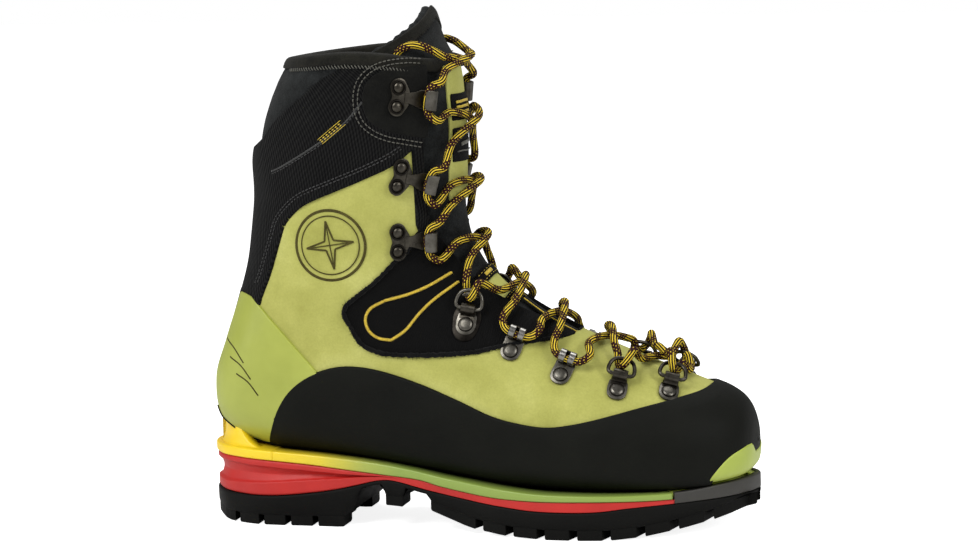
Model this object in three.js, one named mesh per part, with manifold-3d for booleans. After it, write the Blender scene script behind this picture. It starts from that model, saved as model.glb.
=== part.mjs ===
// A right-foot technical mountaineering boot: crampon-compatible sole unit, one-piece nubuck upper with a
// rubber rand, stretch ankle panels, a padded collar and tongue, and speed hooks, rings and one round lace.
// Millimetres, +X to the toe, +Y to the inner side of the foot, +Z up, origin on the ground under the middle.
import * as THREE from "three";
import { mergeVertices } from "three/addons/utils/BufferGeometryUtils.js";
import Module from "manifold-3d";

const wasm = await Module();
wasm.setup();

// ---------------------------------------------------------------- driving dimensions
const GAP = 0.3;                      // clearance between pieces that touch
const ORIGIN_X = 156.2;               // heel-to-origin distance, the middle of the boot's length
const ORIGIN_Y = -1;                  // middle of the boot's width
const UPPER_WALL = 2.2;               // leather and fabric layer
const LINING_IN_FOOT = 5;             // how deep the lining reaches below the upper's outer face
const LINING_IN_COLLAR = 9;
const RAND_WALL = 2.2;
const COUNTER_WALL = 1.7;
const TONGUE_TOP = -5;                // outer and inner faces of the padded tongue
const TONGUE_UNDER = -9;
const LACE_RADIUS = 2.2;
const ANKLE = { x: 80, z: 122 };      // the hinge line of the ankle
const ANKLE_DISC = 11;                // radius of the round joint between foot and shaft panels

// Sections of the last from the toe (row 0) to above the collar. Each row gives the dorsal point x, z, the
// plantar point x, z, the sideways centre, the outer and inner half-widths, how far down the widest level
// lies, and how square the section is above and below that level.
const SECTIONS = [
  [309.5, 47, 309.5, 46.5, 8, 0.5, 0.5, 0.5, 2, 2],
  [307.5, 59, 308, 34, 8, 17, 16, 0.55, 2.2, 2.6],
  [302.5, 69, 303.5, 29, 7.5, 28, 25, 0.6, 2.2, 3],
  [292, 76, 294, 27, 6.5, 37, 32.5, 0.64, 2.2, 3.4],
  [275, 83, 277, 25.5, 5, 45, 39, 0.68, 2.2, 3.6],
  [250, 92.5, 250, 25, 3, 50, 44, 0.7, 2.1, 3.8],
  [224, 104, 218, 25.2, 1, 51.5, 46.5, 0.7, 2.05, 3.8],
  [200, 116.5, 180, 27, 0, 49.5, 45, 0.68, 2, 3.6],
  [180, 131, 135, 33, -0.5, 46, 42, 0.62, 2, 3.4],
  [165.5, 145, 85, 39, 0, 43, 41, 0.56, 2, 3.2],
  [158, 158.5, 35, 43.5, 0, 42, 41, 0.52, 2, 3],
  [154.5, 172, 9, 55.5, 0, 42, 41.5, 0.5, 2, 2.8],
  [153.5, 186, 4, 78, 0, 43, 42.5, 0.5, 2.1, 2.6],
  [153.5, 199, 10.5, 100, 0, 44, 43.5, 0.5, 2.1, 2.5],
  [153.5, 212, 18.5, 125, 0, 45, 45, 0.5, 2.1, 2.3],
  [153.5, 226, 25.5, 150, 0, 46, 46, 0.5, 2.1, 2.2],
  [152.5, 239, 28.5, 176, 0, 47, 47, 0.5, 2.1, 2.1],
  [151.5, 250, 31.5, 204, 0, 47.5, 47.5, 0.5, 2.1, 2.1],
  [149, 261, 40, 234, 0, 47.5, 47.5, 0.5, 2.1, 2.1],
  [145, 270, 52, 260, 0, 47, 47, 0.5, 2.1, 2.1],
  [143, 284, 60, 279, 0, 46.5, 46.5, 0.5, 2.1, 2.1],
  [141, 300, 66, 298, 0, 46, 46, 0.5, 2.1, 2.1],
];
const ROWS = [0.4, 1, 2, 3, 4, 5, 6, 7, 8, 9, 10, 11, 12, 13.5, 15, 16.5, 18, 19, 20, 21];
const COLUMNS = 24;

// Outlines in the side view (x, z). Each one cuts its panel out of the skin on both sides of the boot.
const SOLE_SEAT = [[-20, 62], [2, 58], [12, 47], [35, 43.8], [85, 39.3], [135, 33.3], [180, 27.3], [218, 25.5],
  [250, 25.3], [277, 25.8], [296, 27.5], [330, 30]];
const RAND_EDGE = [[36, 40], [44, 55], [50, 67], [57, 76.5], [65, 83], [74, 87.5], [85, 90.5], [96, 91], [110, 89],
  [134, 82], [155, 74], [174, 66], [188, 62.5], [205, 60.5], [222, 62.5], [255, 70], [274, 74], [288, 77.5],
  [294, 84]];
const BUMPER = [[289, 20], [289, 29.7], [295, 36.5], [301, 42], [307, 46], [330, 47], [330, 20]];
const COUNTER_FRONT = [[34, 129], [38.5, 126], [48.5, 116], [60.5, 102.5], [73.5, 87.8]];
const HEEL_CUP_EDGE = [[-20, 64], [6, 61], [18, 53.5], [26, 47.5], [42, 44.8], [400, 44.8]];
const FLEX = [[124, 154], [118, 149], [108, 139], [98, 131], [90, 126.6], [91, 121], [95, 115], [98, 106.5],
  [105, 101.5], [115, 99], [147, 99.3], [166, 101], [178, 103.5], [194, 105.5], [210, 107], [230, 112],
  [230, 180], [131.5, 180], [131.5, 171.5], [129.5, 162.5]];
const SHAFT_GREEN = [[131, 213], [120, 204], [90, 191], [76, 185.5], [68, 181.5], [61, 175.5], [57, 170.5],
  [54.5, 164], [50.5, 153], [46.5, 142], [40.5, 128], [90, 110], [140, 150], [132, 172], [132.5, 200]];
const EYESTAY = [[136, 310], [136, 175], [141, 163], [150, 150], [160, 137.5], [174.5, 128.5], [185, 122.5],
  [198, 116], [214, 108], [216, 140], [216, 310]];
const TONGUE_EDGE = [[127, 264], [127, 172], [132, 158], [141, 145], [151, 132], [168, 120], [181, 114],
  [196, 107], [216, 99], [240, 96], [240, 264]];
const TONGUE_PEAK = [[240, 264.3], [127, 264.3], [104, 266.8], [112, 275], [122, 284], [130, 288], [136, 285.5],
  [143, 278], [160, 268], [240, 268]];
const COLLAR_TOP = [[-20, 252], [40, 259], [52, 261.5], [75, 264], [98, 265.5], [120, 264], [137, 261], [200, 258]];
const CUFF_TAB = [[135.6, 221], [128, 221], [120, 222.5], [113, 226], [108.5, 231], [107, 240], [109, 248],
  [116, 253.5], [129, 255.5], [135.6, 255]];

// Sole outline from above: x, then the outer and inner half-widths.
const SOLE_WIDTHS = [[0, 0, 0], [1, 7, 7], [4, 14.5, 14.5], [12, 25.5, 25], [22, 32, 31.5], [35, 36.5, 35.5],
  [75, 37, 34], [110, 38.5, 32], [150, 44.5, 36], [180, 51.5, 43.5], [205, 54.5, 49.5], [235, 52.5, 52.5],
  [265, 43, 50], [290, 27.5, 38], [303, 14, 25.5], [309, 4, 18], [312, -5, 11]];
const WELT_TOP = [[-5, 43.2], [25, 43.2], [62, 41], [86, 39], [106, 37], [126, 34.3], [144, 31.2], [162, 28.8],
  [180, 26.8], [198, 25.4], [218, 24.9], [250, 24.7], [277, 25.2], [296, 27], [315, 28.6]];
const MIDSOLE_TOP = [[-5, 37.7], [30, 37.5], [62, 35.3], [90, 32.3], [109, 30.5], [131, 28.6], [143, 25.8],
  [171, 22], [198, 21], [232, 21.3], [273, 21.3], [315, 22.8]];
const OUTSOLE_TOP = [[-5, 17.5], [38, 16.6], [54, 17.5], [77, 20.5], [93, 24], [105, 27], [113, 27.6],
  [134, 23.4], [162, 19], [180, 17], [198, 15.5], [232, 15.6], [250, 17.5], [272, 18.8], [315, 20]];
const TREAD = [[-5, 5], [3, 2.5], [12, 0.3], [20, 0], [84, 0], [90, 5], [94, 14], [98, 19.5], [108, 21],
  [110, 13.5], [120, 13], [122, 19], [133, 18.5], [137, 12], [148, 8], [160, 4], [180, 1.2], [205, 0], [238, 0],
  [256, 1.5], [275, 4.6], [292, 8], [315, 14]];
const TREAD_SLOTS = [32, 50, 68, 164, 184, 204, 224, 244, 264, 284];   // x of the gaps between the lugs
const TREAD_SLOT_WIDTH = 5.5;
const TREAD_SLOT_DEPTH = 6;
const CENTRE_CHANNEL = 13;            // half-width of the plain strip down the middle of the tread

// Lacing hardware on each side: the row and the angle round the section where each fitting sits, and the row
// and angle that it points to. Angles are in degrees from the top ridge of the boot; the tilt is how far the
// taut lace lifts a ring off the leather.
const HOOKS = [
  { row: 11.6, angle: 50, back: [12.1, 57], tip: [11.3, 43], name: "hook_lower" },
  { row: 13.9, angle: 50.5, back: [14.3, 58], tip: [13.5, 43], name: "hook_middle" },
  { row: 16.85, angle: 50.5, back: [17.1, 58], tip: [16.6, 43], name: "hook_upper" },
];
const LOCK = { row: 8.5, angle: 52, tip: [8.85, 34], tilt: 14, name: "lock" };
const LOOPS = [
  { row: 7.45, angle: 50, tip: [7.45, 34], name: "loop_upper" },
  { row: 6.4, angle: 50, tip: [6.3, 34], name: "loop_lower" },
];
const RINGS = [
  { row: 5.3, angle: 48, tip: [5.3, 28], tilt: 3, name: "ring_upper" },
  { row: 4.3, angle: 38, tip: [4.35, 14], tilt: 7, name: "ring_lower" },
];
const RING_LENGTH = 10;               // hinge bar to the middle of the far wire
const RING_HALF_WIDTH = 7;
const RING_WIRE = 2.2;
const BAR_REACH = 8.5;                // rivet to hinge bar
const BAR_HEIGHT = 3.6;

// ---------------------------------------------------------------- materials
function material(colour, roughness, metalness) {
  return new THREE.MeshStandardMaterial({ color: colour, roughness, metalness });
}
const NUBUCK = material(0xbdb978, 0.9, 0);
const BLACK_FABRIC = material(0x1b1b1c, 0.95, 0);
const LINING = material(0x2b2c2e, 0.98, 0);
const RUBBER = material(0x26261f, 0.7, 0);
const TREAD_RUBBER = material(0x151515, 0.8, 0);
const LIME = material(0xa9b74f, 0.5, 0);
const YELLOW = material(0xe8c928, 0.5, 0);
const GREY = material(0x4b4844, 0.55, 0);
const RED = material(0xc63a2a, 0.55, 0);
const DARK_METAL = material(0x5e5d58, 0.35, 1);
const LACE = material(0xb59a3c, 0.8, 0);
const BOARD = material(0x8a8378, 0.9, 0);

// ---------------------------------------------------------------- solids
function solid(geometry) {
  const plain = new THREE.BufferGeometry();
  plain.setAttribute("position", geometry.getAttribute("position").clone());
  if (geometry.index) plain.setIndex(geometry.index.clone());
  const merged = mergeVertices(plain, 1e-4);
  return new wasm.Manifold(new wasm.Mesh({
    numProp: 3,
    vertProperties: new Float32Array(merged.getAttribute("position").array),
    triVerts: new Uint32Array(merged.index.array),
  }));
}

function geometryOf(body) {
  const mesh = body.getMesh();
  const geometry = new THREE.BufferGeometry();
  geometry.setAttribute("position", new THREE.BufferAttribute(new Float32Array(mesh.vertProperties), 3));
  geometry.setIndex(new THREE.BufferAttribute(new Uint32Array(mesh.triVerts), 1));
  return geometry;
}

/** The part of a body with the most volume, so that stray slivers of a cut are dropped. */
function mainPiece(body) {
  const pieces = body.decompose();
  return pieces.reduce((best, piece) => (piece.volume() > best.volume() ? piece : best));
}

/** A side-view outline (x, z) extruded across the boot from y0 to y1. */
function across(outline, y0 = -80, y1 = 80) {
  const shape = new THREE.Shape(outline.map(([x, z]) => new THREE.Vector2(x, z)));
  const geometry = new THREE.ExtrudeGeometry(shape, { depth: y1 - y0, bevelEnabled: false });
  geometry.rotateX(Math.PI / 2);
  geometry.translate(0, y1, 0);
  return solid(geometry);
}

/** An open outline pushed sideways by a distance, to the left of its direction. */
function shifted(line, distance) {
  return line.map((point, i) => {
    const before = line[Math.max(i - 1, 0)];
    const after = line[Math.min(i + 1, line.length - 1)];
    const dx = after[0] - before[0];
    const dz = after[1] - before[1];
    const length = Math.hypot(dx, dz);
    return [point[0] - (dz / length) * distance, point[1] + (dx / length) * distance];
  });
}

/** A closed outline drawn in by a distance, whichever way it runs. */
function inset(outline, distance) {
  const area = outline.reduce((sum, [x, z], i) => {
    const [nextX, nextZ] = outline[(i + 1) % outline.length];
    return sum + x * nextZ - nextX * z;
  }, 0);
  const turn = Math.sign(area) * distance;
  return outline.map(([x, z], i) => {
    const [px, pz] = outline[(i + outline.length - 1) % outline.length];
    const [nx, nz] = outline[(i + 1) % outline.length];
    const a = [x - px, z - pz];
    const b = [nx - x, nz - z];
    const la = Math.hypot(...a);
    const lb = Math.hypot(...b);
    const normal = [-(a[1] / la + b[1] / lb), a[0] / la + b[0] / lb];
    const scale = turn / Math.max(1 + (a[0] * b[0] + a[1] * b[1]) / (la * lb), 0.3);
    return [x + normal[0] * scale, z + normal[1] * scale];
  });
}

// ---------------------------------------------------------------- the last
function section(row) {
  const last = SECTIONS.length - 1;
  const i = Math.min(Math.floor(row), last - 1);
  const t = row - i;
  const at = (n, c) => {
    if (n < 0) return 2 * SECTIONS[0][c] - SECTIONS[1][c];
    if (n > last) return 2 * SECTIONS[last][c] - SECTIONS[last - 1][c];
    return SECTIONS[n][c];
  };
  return SECTIONS[0].map((_, c) => {
    const [a, b, d, e] = [at(i - 1, c), at(i, c), at(i + 1, c), at(i + 2, c)];
    return 0.5 * (2 * b + (d - a) * t + (2 * a - 5 * b + 4 * d - e) * t * t + (3 * b - a - 3 * d + e) * t * t * t);
  });
}

/** A point of the last. The angle is 0 on the top ridge, positive to the outer side, 180 underneath. */
function onLast(row, angle) {
  const [topX, topZ, underX, underZ, middle, outer, inner, level, squareTop, squareUnder] = section(row);
  const radians = THREE.MathUtils.degToRad(angle);
  const cos = Math.cos(radians);
  const sin = Math.sin(radians);
  const power = 2 / (cos > 0 ? squareTop : squareUnder);
  const reach = Math.abs(cos) ** power;
  const down = cos > 0 ? level - level * reach : level + (1 - level) * reach;
  const width = sin >= 0 ? -outer : inner;
  return new THREE.Vector3(
    topX + (underX - topX) * down,
    middle + width * Math.abs(sin) ** power,
    topZ + (underZ - topZ) * down,
  );
}

function normalOf(row, angle) {
  const alongRow = onLast(row + 0.03, angle).sub(onLast(row - 0.03, angle));
  const round = onLast(row, angle + 0.6).sub(onLast(row, angle - 0.6));
  return alongRow.cross(round).normalize();
}

/** A point at a height over the last. Inner layers thin out towards the toe. */
function over(row, angle, height) {
  const thin = height < 0 ? Math.min(1, 0.6 + row / 6) : 1;
  return onLast(row, angle).addScaledVector(normalOf(row, angle), height * thin);
}

/** The last grown or shrunk by a height, as one closed solid. */
function lastSolid(height) {
  const points = [];
  for (const row of ROWS) {
    for (let c = 0; c < COLUMNS; c += 1) points.push(over(row, (360 * (c + 0.5)) / COLUMNS, height));
  }
  const toe = onLast(0, 90).setX(SECTIONS[0][0] + height);
  const top = new THREE.Vector3();
  points.slice(-COLUMNS).forEach((point) => top.addScaledVector(point, 1 / COLUMNS));
  points.push(toe, top);
  const faces = [];
  for (let c = 0; c < COLUMNS; c += 1) {
    const next = (c + 1) % COLUMNS;
    faces.push(points.length - 2, c, next);
    for (let r = 0; r < ROWS.length - 1; r += 1) {
      const [a, b] = [r * COLUMNS + c, r * COLUMNS + next];
      faces.push(a, b + COLUMNS, b, a, a + COLUMNS, b + COLUMNS);
    }
    const end = (ROWS.length - 1) * COLUMNS;
    faces.push(points.length - 1, end + next, end + c);
  }
  const geometry = new THREE.BufferGeometry().setFromPoints(points);
  geometry.setIndex(faces);
  return solid(geometry);
}

const lastAt = new Map();
function last(height) {
  if (!lastAt.has(height)) lastAt.set(height, lastSolid(height));
  return lastAt.get(height);
}
function layer(low, high) {
  return last(high).subtract(last(low));
}

// ---------------------------------------------------------------- regions of the side view
const FAR = 400;                      // past the toe, and past the top when it is a height
const aboveLine = (line) => across([...line, [FAR, 500], [-60, 500]]);
const belowLine = (line) => across([...line, [FAR, -60], [-60, -60]]);

function discPoint(degrees, radius = ANKLE_DISC) {
  const a = THREE.MathUtils.degToRad(degrees);
  return [ANKLE.x + radius * Math.cos(a), ANKLE.z + radius * Math.sin(a)];
}

/** The edge of the foot or shaft panels: a line to the back and one to the front from the ankle disc. */
function jointLine(backDegrees, frontDegrees, radius) {
  return [discPoint(backDegrees, 110), discPoint(backDegrees, radius), discPoint(frontDegrees, radius),
    discPoint(frontDegrees, 260)];
}
const disc = (radius) => {
  const points = [];
  for (let i = 0; i < 20; i += 1) points.push(discPoint((i + 0.5) * 18, radius));
  return across(points);
};

const footLeatherSide = belowLine(jointLine(170, -5, 10)).add(disc(ANKLE_DISC));
const shaftLeatherSide = aboveLine(jointLine(160, 25, 6)).subtract(disc(ANKLE_DISC + 0.4));
const footLiningSide = belowLine(jointLine(170, 5, 10)).add(disc(ANKLE_DISC));
const shaftLiningSide = aboveLine(jointLine(160, 20, 6)).subtract(disc(ANKLE_DISC + 0.4));
const tendonSide = aboveLine(jointLine(169.5, 100, 6)).subtract(aboveLine(jointLine(160.5, 100, 6)))
  .subtract(disc(ANKLE_DISC + 0.7)).intersect(across([[-20, 60], [68, 60], [68, 200], [-20, 200]]));
const throat = across(EYESTAY);
const flexArea = across(FLEX);
const seat = aboveLine(shifted(SOLE_SEAT, 2.8));
const collarCap = belowLine(shifted(COLLAR_TOP, -7));

const group = new THREE.Group();
group.position.set(-ORIGIN_X, -ORIGIN_Y, 0);
function add(name, body, finish, parent = group) {
  const mesh = new THREE.Mesh(geometryOf(mainPiece(body)), finish);
  mesh.name = name;
  parent.add(mesh);
  return mesh;
}

// ---------------------------------------------------------------- sole unit
function soleOutline(grow) {
  const outer = SOLE_WIDTHS.map(([x, half]) => [x, -half]);
  const inner = SOLE_WIDTHS.slice(1).map(([x, , half]) => [x, half]).reverse();
  const tip = [312.5, 8];
  const outline = inset([...outer, tip, ...inner], -grow);
  const shape = new THREE.Shape(outline.map(([x, y]) => new THREE.Vector2(x, y)));
  const geometry = new THREE.ExtrudeGeometry(shape, { depth: 90, bevelEnabled: false });
  geometry.translate(0, 0, -10);
  return solid(geometry);
}

const solePlan = soleOutline(0);
const midsolePlan = soleOutline(-1);
const treadPlan = soleOutline(-0.4);
const weltBand = solePlan.intersect(belowLine(WELT_TOP)).subtract(belowLine(shifted(MIDSOLE_TOP, GAP)));
const frontOf = (x) => across([[x, -20], [FAR, -20], [FAR, 120], [x, 120]]);
const behind = (x) => across([[-30, -20], [x, -20], [x, 120], [-30, 120]]);

const WELT_HEEL = 44;                 // the yellow crampon ledge ends here
const WELT_TOE = 283;                 // the grey toe insert starts here
add("welt", weltBand.intersect(frontOf(WELT_HEEL)).intersect(behind(WELT_TOE)), LIME);
const heelCup = soleOutline(-1.5).intersect(belowLine(HEEL_CUP_EDGE)).intersect(aboveLine(MIDSOLE_TOP
  .map(([x, z]) => [x, z + 1])));
const heelLedge = weltBand.add(heelCup).intersect(behind(WELT_HEEL - GAP)).subtract(last(GAP));
add("heel_crampon_ledge", heelLedge, YELLOW);
const toeInsert = weltBand.add(midsolePlan.intersect(belowLine(MIDSOLE_TOP.map(([x, z]) => [x, z + 1]))))
  .subtract(belowLine(shifted(OUTSOLE_TOP, GAP))).intersect(frontOf(WELT_TOE + GAP));
add("toe_crampon_insert", toeInsert.intersect(belowLine(WELT_TOP)), GREY);

const HEEL_GROOVE = [[-10, 24], [40, 24.5], [100, 29.5], [118, 29.5], [100, 30.5], [40, 32], [-10, 32.5]];
const midsole = midsolePlan.intersect(belowLine(MIDSOLE_TOP)).subtract(belowLine(shifted(OUTSOLE_TOP, GAP)))
  .intersect(behind(WELT_TOE));
add("midsole", midsole.subtract(across(HEEL_GROOVE).subtract(soleOutline(-4))), RED);

let outsole = treadPlan.intersect(belowLine(OUTSOLE_TOP)).subtract(belowLine(TREAD));
for (const x of TREAD_SLOTS) {
  for (const side of [-1, 1]) {
    const slot = new THREE.BoxGeometry(TREAD_SLOT_WIDTH, 60, 2 * TREAD_SLOT_DEPTH);
    slot.translate(0, side * (CENTRE_CHANNEL + 30), 0);
    slot.rotateZ(side * 0.14 * (x > 130 ? 1 : 0));
    const ground = x < 130 ? 0 : Math.max(0, (x - 240) * 0.13, (190 - x) * 0.1);
    slot.translate(x, 0, ground);
    outsole = outsole.subtract(solid(slot));
  }
}
add("outsole", outsole, TREAD_RUBBER);

// ---------------------------------------------------------------- inside the boot
const boardSlab = aboveLine(shifted(SOLE_SEAT, 0)).subtract(aboveLine(shifted(SOLE_SEAT, 2.4)));
add("insole_board", last(-0.6).intersect(boardSlab).intersect(across([[9, 0], [304, 0], [304, 90], [9, 90]])), BOARD);
const footbedSlab = aboveLine(shifted(SOLE_SEAT, 2.9)).subtract(aboveLine(shifted(SOLE_SEAT, 7)));
add("footbed", last(-LINING_IN_FOOT - GAP).intersect(footbedSlab)
  .intersect(across([[15, 0], [298, 0], [298, 90], [15, 90]])), LINING);

const tongueZone = across(inset(TONGUE_EDGE, -GAP)).add(across([[127, 160], [240, 160], [240, 330], [127, 330]]));
const footLining = layer(-LINING_IN_FOOT, -UPPER_WALL - GAP).intersect(footLiningSide).intersect(seat)
  .subtract(tongueZone);
add("foot_lining", footLining, LINING);
const collarLining = layer(-LINING_IN_COLLAR, -UPPER_WALL - GAP).intersect(shaftLiningSide)
  .intersect(collarCap).subtract(tongueZone);
add("collar_lining", collarLining, LINING);

// ---------------------------------------------------------------- upper
const skin = layer(-UPPER_WALL, 0);
add("foot_leather", skin.intersect(footLeatherSide).intersect(seat).subtract(flexArea).subtract(throat), NUBUCK);
const shaftSkin = skin.intersect(shaftLeatherSide).intersect(collarCap).subtract(flexArea).subtract(throat);
add("shaft_fabric", shaftSkin.subtract(across(SHAFT_GREEN)), BLACK_FABRIC);
for (const [side, y0, y1] of [["outer", -80, 0], ["inner", 0, 80]]) {
  const half = across([[-20, 0], [FAR, 0], [FAR, 330], [-20, 330]], y0, y1);
  const green = shaftSkin.intersect(across(inset(SHAFT_GREEN, GAP))).intersect(half);
  add(`shaft_leather_${side}`, green, NUBUCK);
  const flex = skin.intersect(across(inset(FLEX, GAP + 0.05))).intersect(half).intersect(belowLine([[-20, 157.5],
    [FAR, 157.5]])).subtract(disc(ANKLE_DISC + 0.8)).subtract(across(inset(EYESTAY, -GAP)));
  add(`ankle_flex_panel_${side}`, flex, BLACK_FABRIC);
  const tab = layer(GAP, 1.5).intersect(across(CUFF_TAB)).intersect(half);
  add(`cuff_tab_${side}`, tab, BLACK_FABRIC);
}
add("achilles_flex_panel", layer(-LINING_IN_FOOT, 0).intersect(tendonSide), BLACK_FABRIC);
const bindingLow = aboveLine(shifted(COLLAR_TOP, -7 + GAP));
add("collar_binding", layer(-LINING_IN_COLLAR, 0.8).intersect(bindingLow).intersect(belowLine(COLLAR_TOP))
  .subtract(tongueZone), BLACK_FABRIC);

// ---------------------------------------------------------------- rubber and heel
const randLayer = layer(GAP, GAP + RAND_WALL).intersect(aboveLine(WELT_TOP.map(([x, z]) => [x, z + GAP])));
const randArea = across([...RAND_EDGE, [FAR, 84], [FAR, 0], [36, 0]]);
const cupArea = across([...HEEL_CUP_EDGE.slice(0, 4), [WELT_HEEL, 45.1], [WELT_HEEL, 0], [-20, 0]]);
add("rubber_rand", randLayer.intersect(randArea).subtract(across(BUMPER)).subtract(cupArea), RUBBER);
add("toe_bumper", randLayer.intersect(across(inset(BUMPER, GAP))), LIME);
const counterLayer = layer(GAP, GAP + COUNTER_WALL).intersect(aboveLine(shifted(HEEL_CUP_EDGE, GAP)));
const counterArea = across([[-20, 129], ...COUNTER_FRONT, ...RAND_EDGE.slice(0, 6).reverse(), [-20, 40]])
  .subtract(across([[36, 40], ...RAND_EDGE.slice(1), [FAR, 84], [FAR, 0], [36, 0]].map(([x, z]) => [x - GAP, z])));
const BACK_STRIP_HALF = 15;
for (const [side, y0, y1] of [["outer", -80, -BACK_STRIP_HALF - GAP], ["inner", BACK_STRIP_HALF + GAP, 80]]) {
  const half = across([[-20, 0], [FAR, 0], [FAR, 330], [-20, 330]], y0, y1);
  add(`heel_counter_${side}`, counterLayer.intersect(counterArea).intersect(half), LIME);
}
const backStripArea = across([[-20, 0], [60, 0], [60, 128], [-20, 128]], -BACK_STRIP_HALF, BACK_STRIP_HALF);
add("heel_back_strip", layer(GAP, 1.5).intersect(backStripArea).intersect(aboveLine(shifted(HEEL_CUP_EDGE, GAP))),
  RUBBER);

// ---------------------------------------------------------------- tongue
const tongueLayer = layer(TONGUE_UNDER, TONGUE_TOP);
const TONGUE_JOINT = 170;             // height where the stiff upper tongue takes over from the flexing one
const lowTongue = belowLine([[-20, TONGUE_JOINT - GAP], [FAR, TONGUE_JOINT - GAP]]);
const highTongue = aboveLine([[-20, TONGUE_JOINT], [FAR, TONGUE_JOINT]]);
add("tongue_instep", tongueLayer.intersect(across(TONGUE_EDGE)).intersect(lowTongue)
  .subtract(frontOf(232)), BLACK_FABRIC);
const upperTongue = tongueLayer.intersect(across(TONGUE_EDGE).intersect(highTongue)
  .add(across(TONGUE_PEAK.map(([x, z]) => [x, z - 0.4]))));
add("tongue_upper", upperTongue, BLACK_FABRIC);
const stripBand = (low, high, half) => across([[100, low], [240, low], [240, high], [100, high]], -half, half);
const topLayer = (low, high) => layer(TONGUE_TOP + low, TONGUE_TOP + high);
add("tongue_cover", topLayer(GAP, 1.8).intersect(stripBand(182, 256, 17)).intersect(across(TONGUE_EDGE)), NUBUCK);
add("tongue_label_upper", topLayer(2.1, 2.5).intersect(stripBand(228, 240, 15)).intersect(across(TONGUE_EDGE)),
  BLACK_FABRIC);
add("tongue_label_lower", topLayer(2.1, 2.5).intersect(stripBand(205, 221, 15)).intersect(across(TONGUE_EDGE)),
  BLACK_FABRIC);

// ---------------------------------------------------------------- lacing hardware
/** A frame on the boot: U along the leather towards the throat, V up the boot, N out of the leather. */
function seatFrame(row, angle, tip, side, lift) {
  const origin = over(row, side * angle, lift);
  const normal = normalOf(row, side * angle);
  const towards = onLast(tip[0], side * tip[1]).sub(origin);
  const u = towards.addScaledVector(normal, -towards.dot(normal)).normalize();
  const v = normal.clone().cross(u).normalize();
  return new THREE.Matrix4().makeBasis(u, v, normal).setPosition(origin);
}

/** An outline in the U-N plane extruded along V, centred on V = 0. */
function alongV(points, width, holes = []) {
  const shape = new THREE.Shape(points.map(([u, n]) => new THREE.Vector2(u, n)));
  for (const hole of holes) shape.holes.push(new THREE.Path(hole.map(([u, n]) => new THREE.Vector2(u, n))));
  const geometry = new THREE.ExtrudeGeometry(shape, { depth: width, bevelEnabled: false });
  geometry.rotateX(Math.PI / 2);
  geometry.translate(0, width / 2, 0);
  return solid(geometry);
}

function circle(u, n, radius, count) {
  const points = [];
  for (let i = 0; i < count; i += 1) {
    const a = (2 * Math.PI * (i + 0.5)) / count;
    points.push([u + radius * Math.cos(a), n + radius * Math.sin(a)]);
  }
  return points;
}

/** A plate with rounded ends lying in the U-V plane, its underside at N = 0. */
function plate(u0, u1, v, thickness, corner) {
  const shape = new THREE.Shape([
    [u0 + corner, -v], [u1 - corner, -v], [u1, -v + corner], [u1, v - corner],
    [u1 - corner, v], [u0 + corner, v], [u0, v - corner], [u0, -v + corner],
  ].map(([x, y]) => new THREE.Vector2(x, y)));
  return solid(new THREE.ExtrudeGeometry(shape, { depth: thickness, bevelEnabled: false }));
}

function rivet(u, v, height) {
  const geometry = new THREE.CylinderGeometry(3, 4.2, 1.5, 12);
  geometry.rotateX(Math.PI / 2);
  geometry.translate(u, v, height + 0.7);
  return solid(geometry);
}

function place(body, frame) {
  const geometry = geometryOf(body);
  geometry.applyMatrix4(frame);
  return solid(geometry);
}

const J_HOOK = [[-3, 0], [9.5, 0], [11.8, 1], [13.2, 3], [13.4, 5], [12.6, 7.2], [10.6, 8.6], [5.5, 9], [5.5, 8],
  [10.2, 7.6], [11.6, 6.6], [12.2, 5], [12, 3.4], [11, 1.9], [9.3, 1], [-3, 1]];

function hookBody() {
  return plate(-13, -2, 10.5, 1, 3).add(alongV(J_HOOK, 11)).add(rivet(-8, -5.3, 1)).add(rivet(-8, 5.3, 1));
}

function tunnelLoopBody() {
  const tunnel = alongV(circle(BAR_REACH + 1.5, 3.7, 3.7, 12), 9, [circle(BAR_REACH + 1.5, 3.7, 2.9, 12)]);
  return plate(-5.5, BAR_REACH + 1, 5.5, 1, 2.5).add(tunnel).add(rivet(0, 0, 1))
    .subtract(alongV(circle(BAR_REACH + 1.5, 3.7, 2.9, 12), 20));
}

function ringMountBody() {
  const arm = alongV([[-4, 0], [BAR_REACH - 1, 0], [BAR_REACH + 2.6, 2], [BAR_REACH, 4], [5, 1], [-4, 1]], 8);
  const fold = alongV(circle(BAR_REACH, BAR_HEIGHT, 2.9, 12), 8);
  const bore = alongV(circle(BAR_REACH, BAR_HEIGHT, 2, 10), 30);
  return plate(-6, 6, 5.5, 1, 2.5).add(arm).add(fold).subtract(bore).add(rivet(0, 0, 1));
}

/** A D-ring with its straight bar along V on U = 0 and its bow towards +U, thickness centred on N = 0. */
function ringBody() {
  const half = RING_WIRE / 2;
  const outline = (grow) => {
    const w = RING_HALF_WIDTH + grow;
    const top = RING_LENGTH + grow;
    return [[1.2 - grow, -w], [5, -w], [8.2, -w + 1.6], [top, -w + 4.4], [top, w - 4.4], [8.2, w - 1.6], [5, w],
      [1.2 - grow, w], [-grow, w - 1.2], [-grow, -w + 1.2]].map(([x, y]) => new THREE.Vector2(x, y));
  };
  const shape = new THREE.Shape(outline(half));
  shape.holes.push(new THREE.Path(outline(-half)));
  const geometry = new THREE.ExtrudeGeometry(shape, { depth: RING_WIRE, bevelEnabled: false });
  geometry.translate(0, 0, -half);
  return solid(geometry);
}

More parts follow.
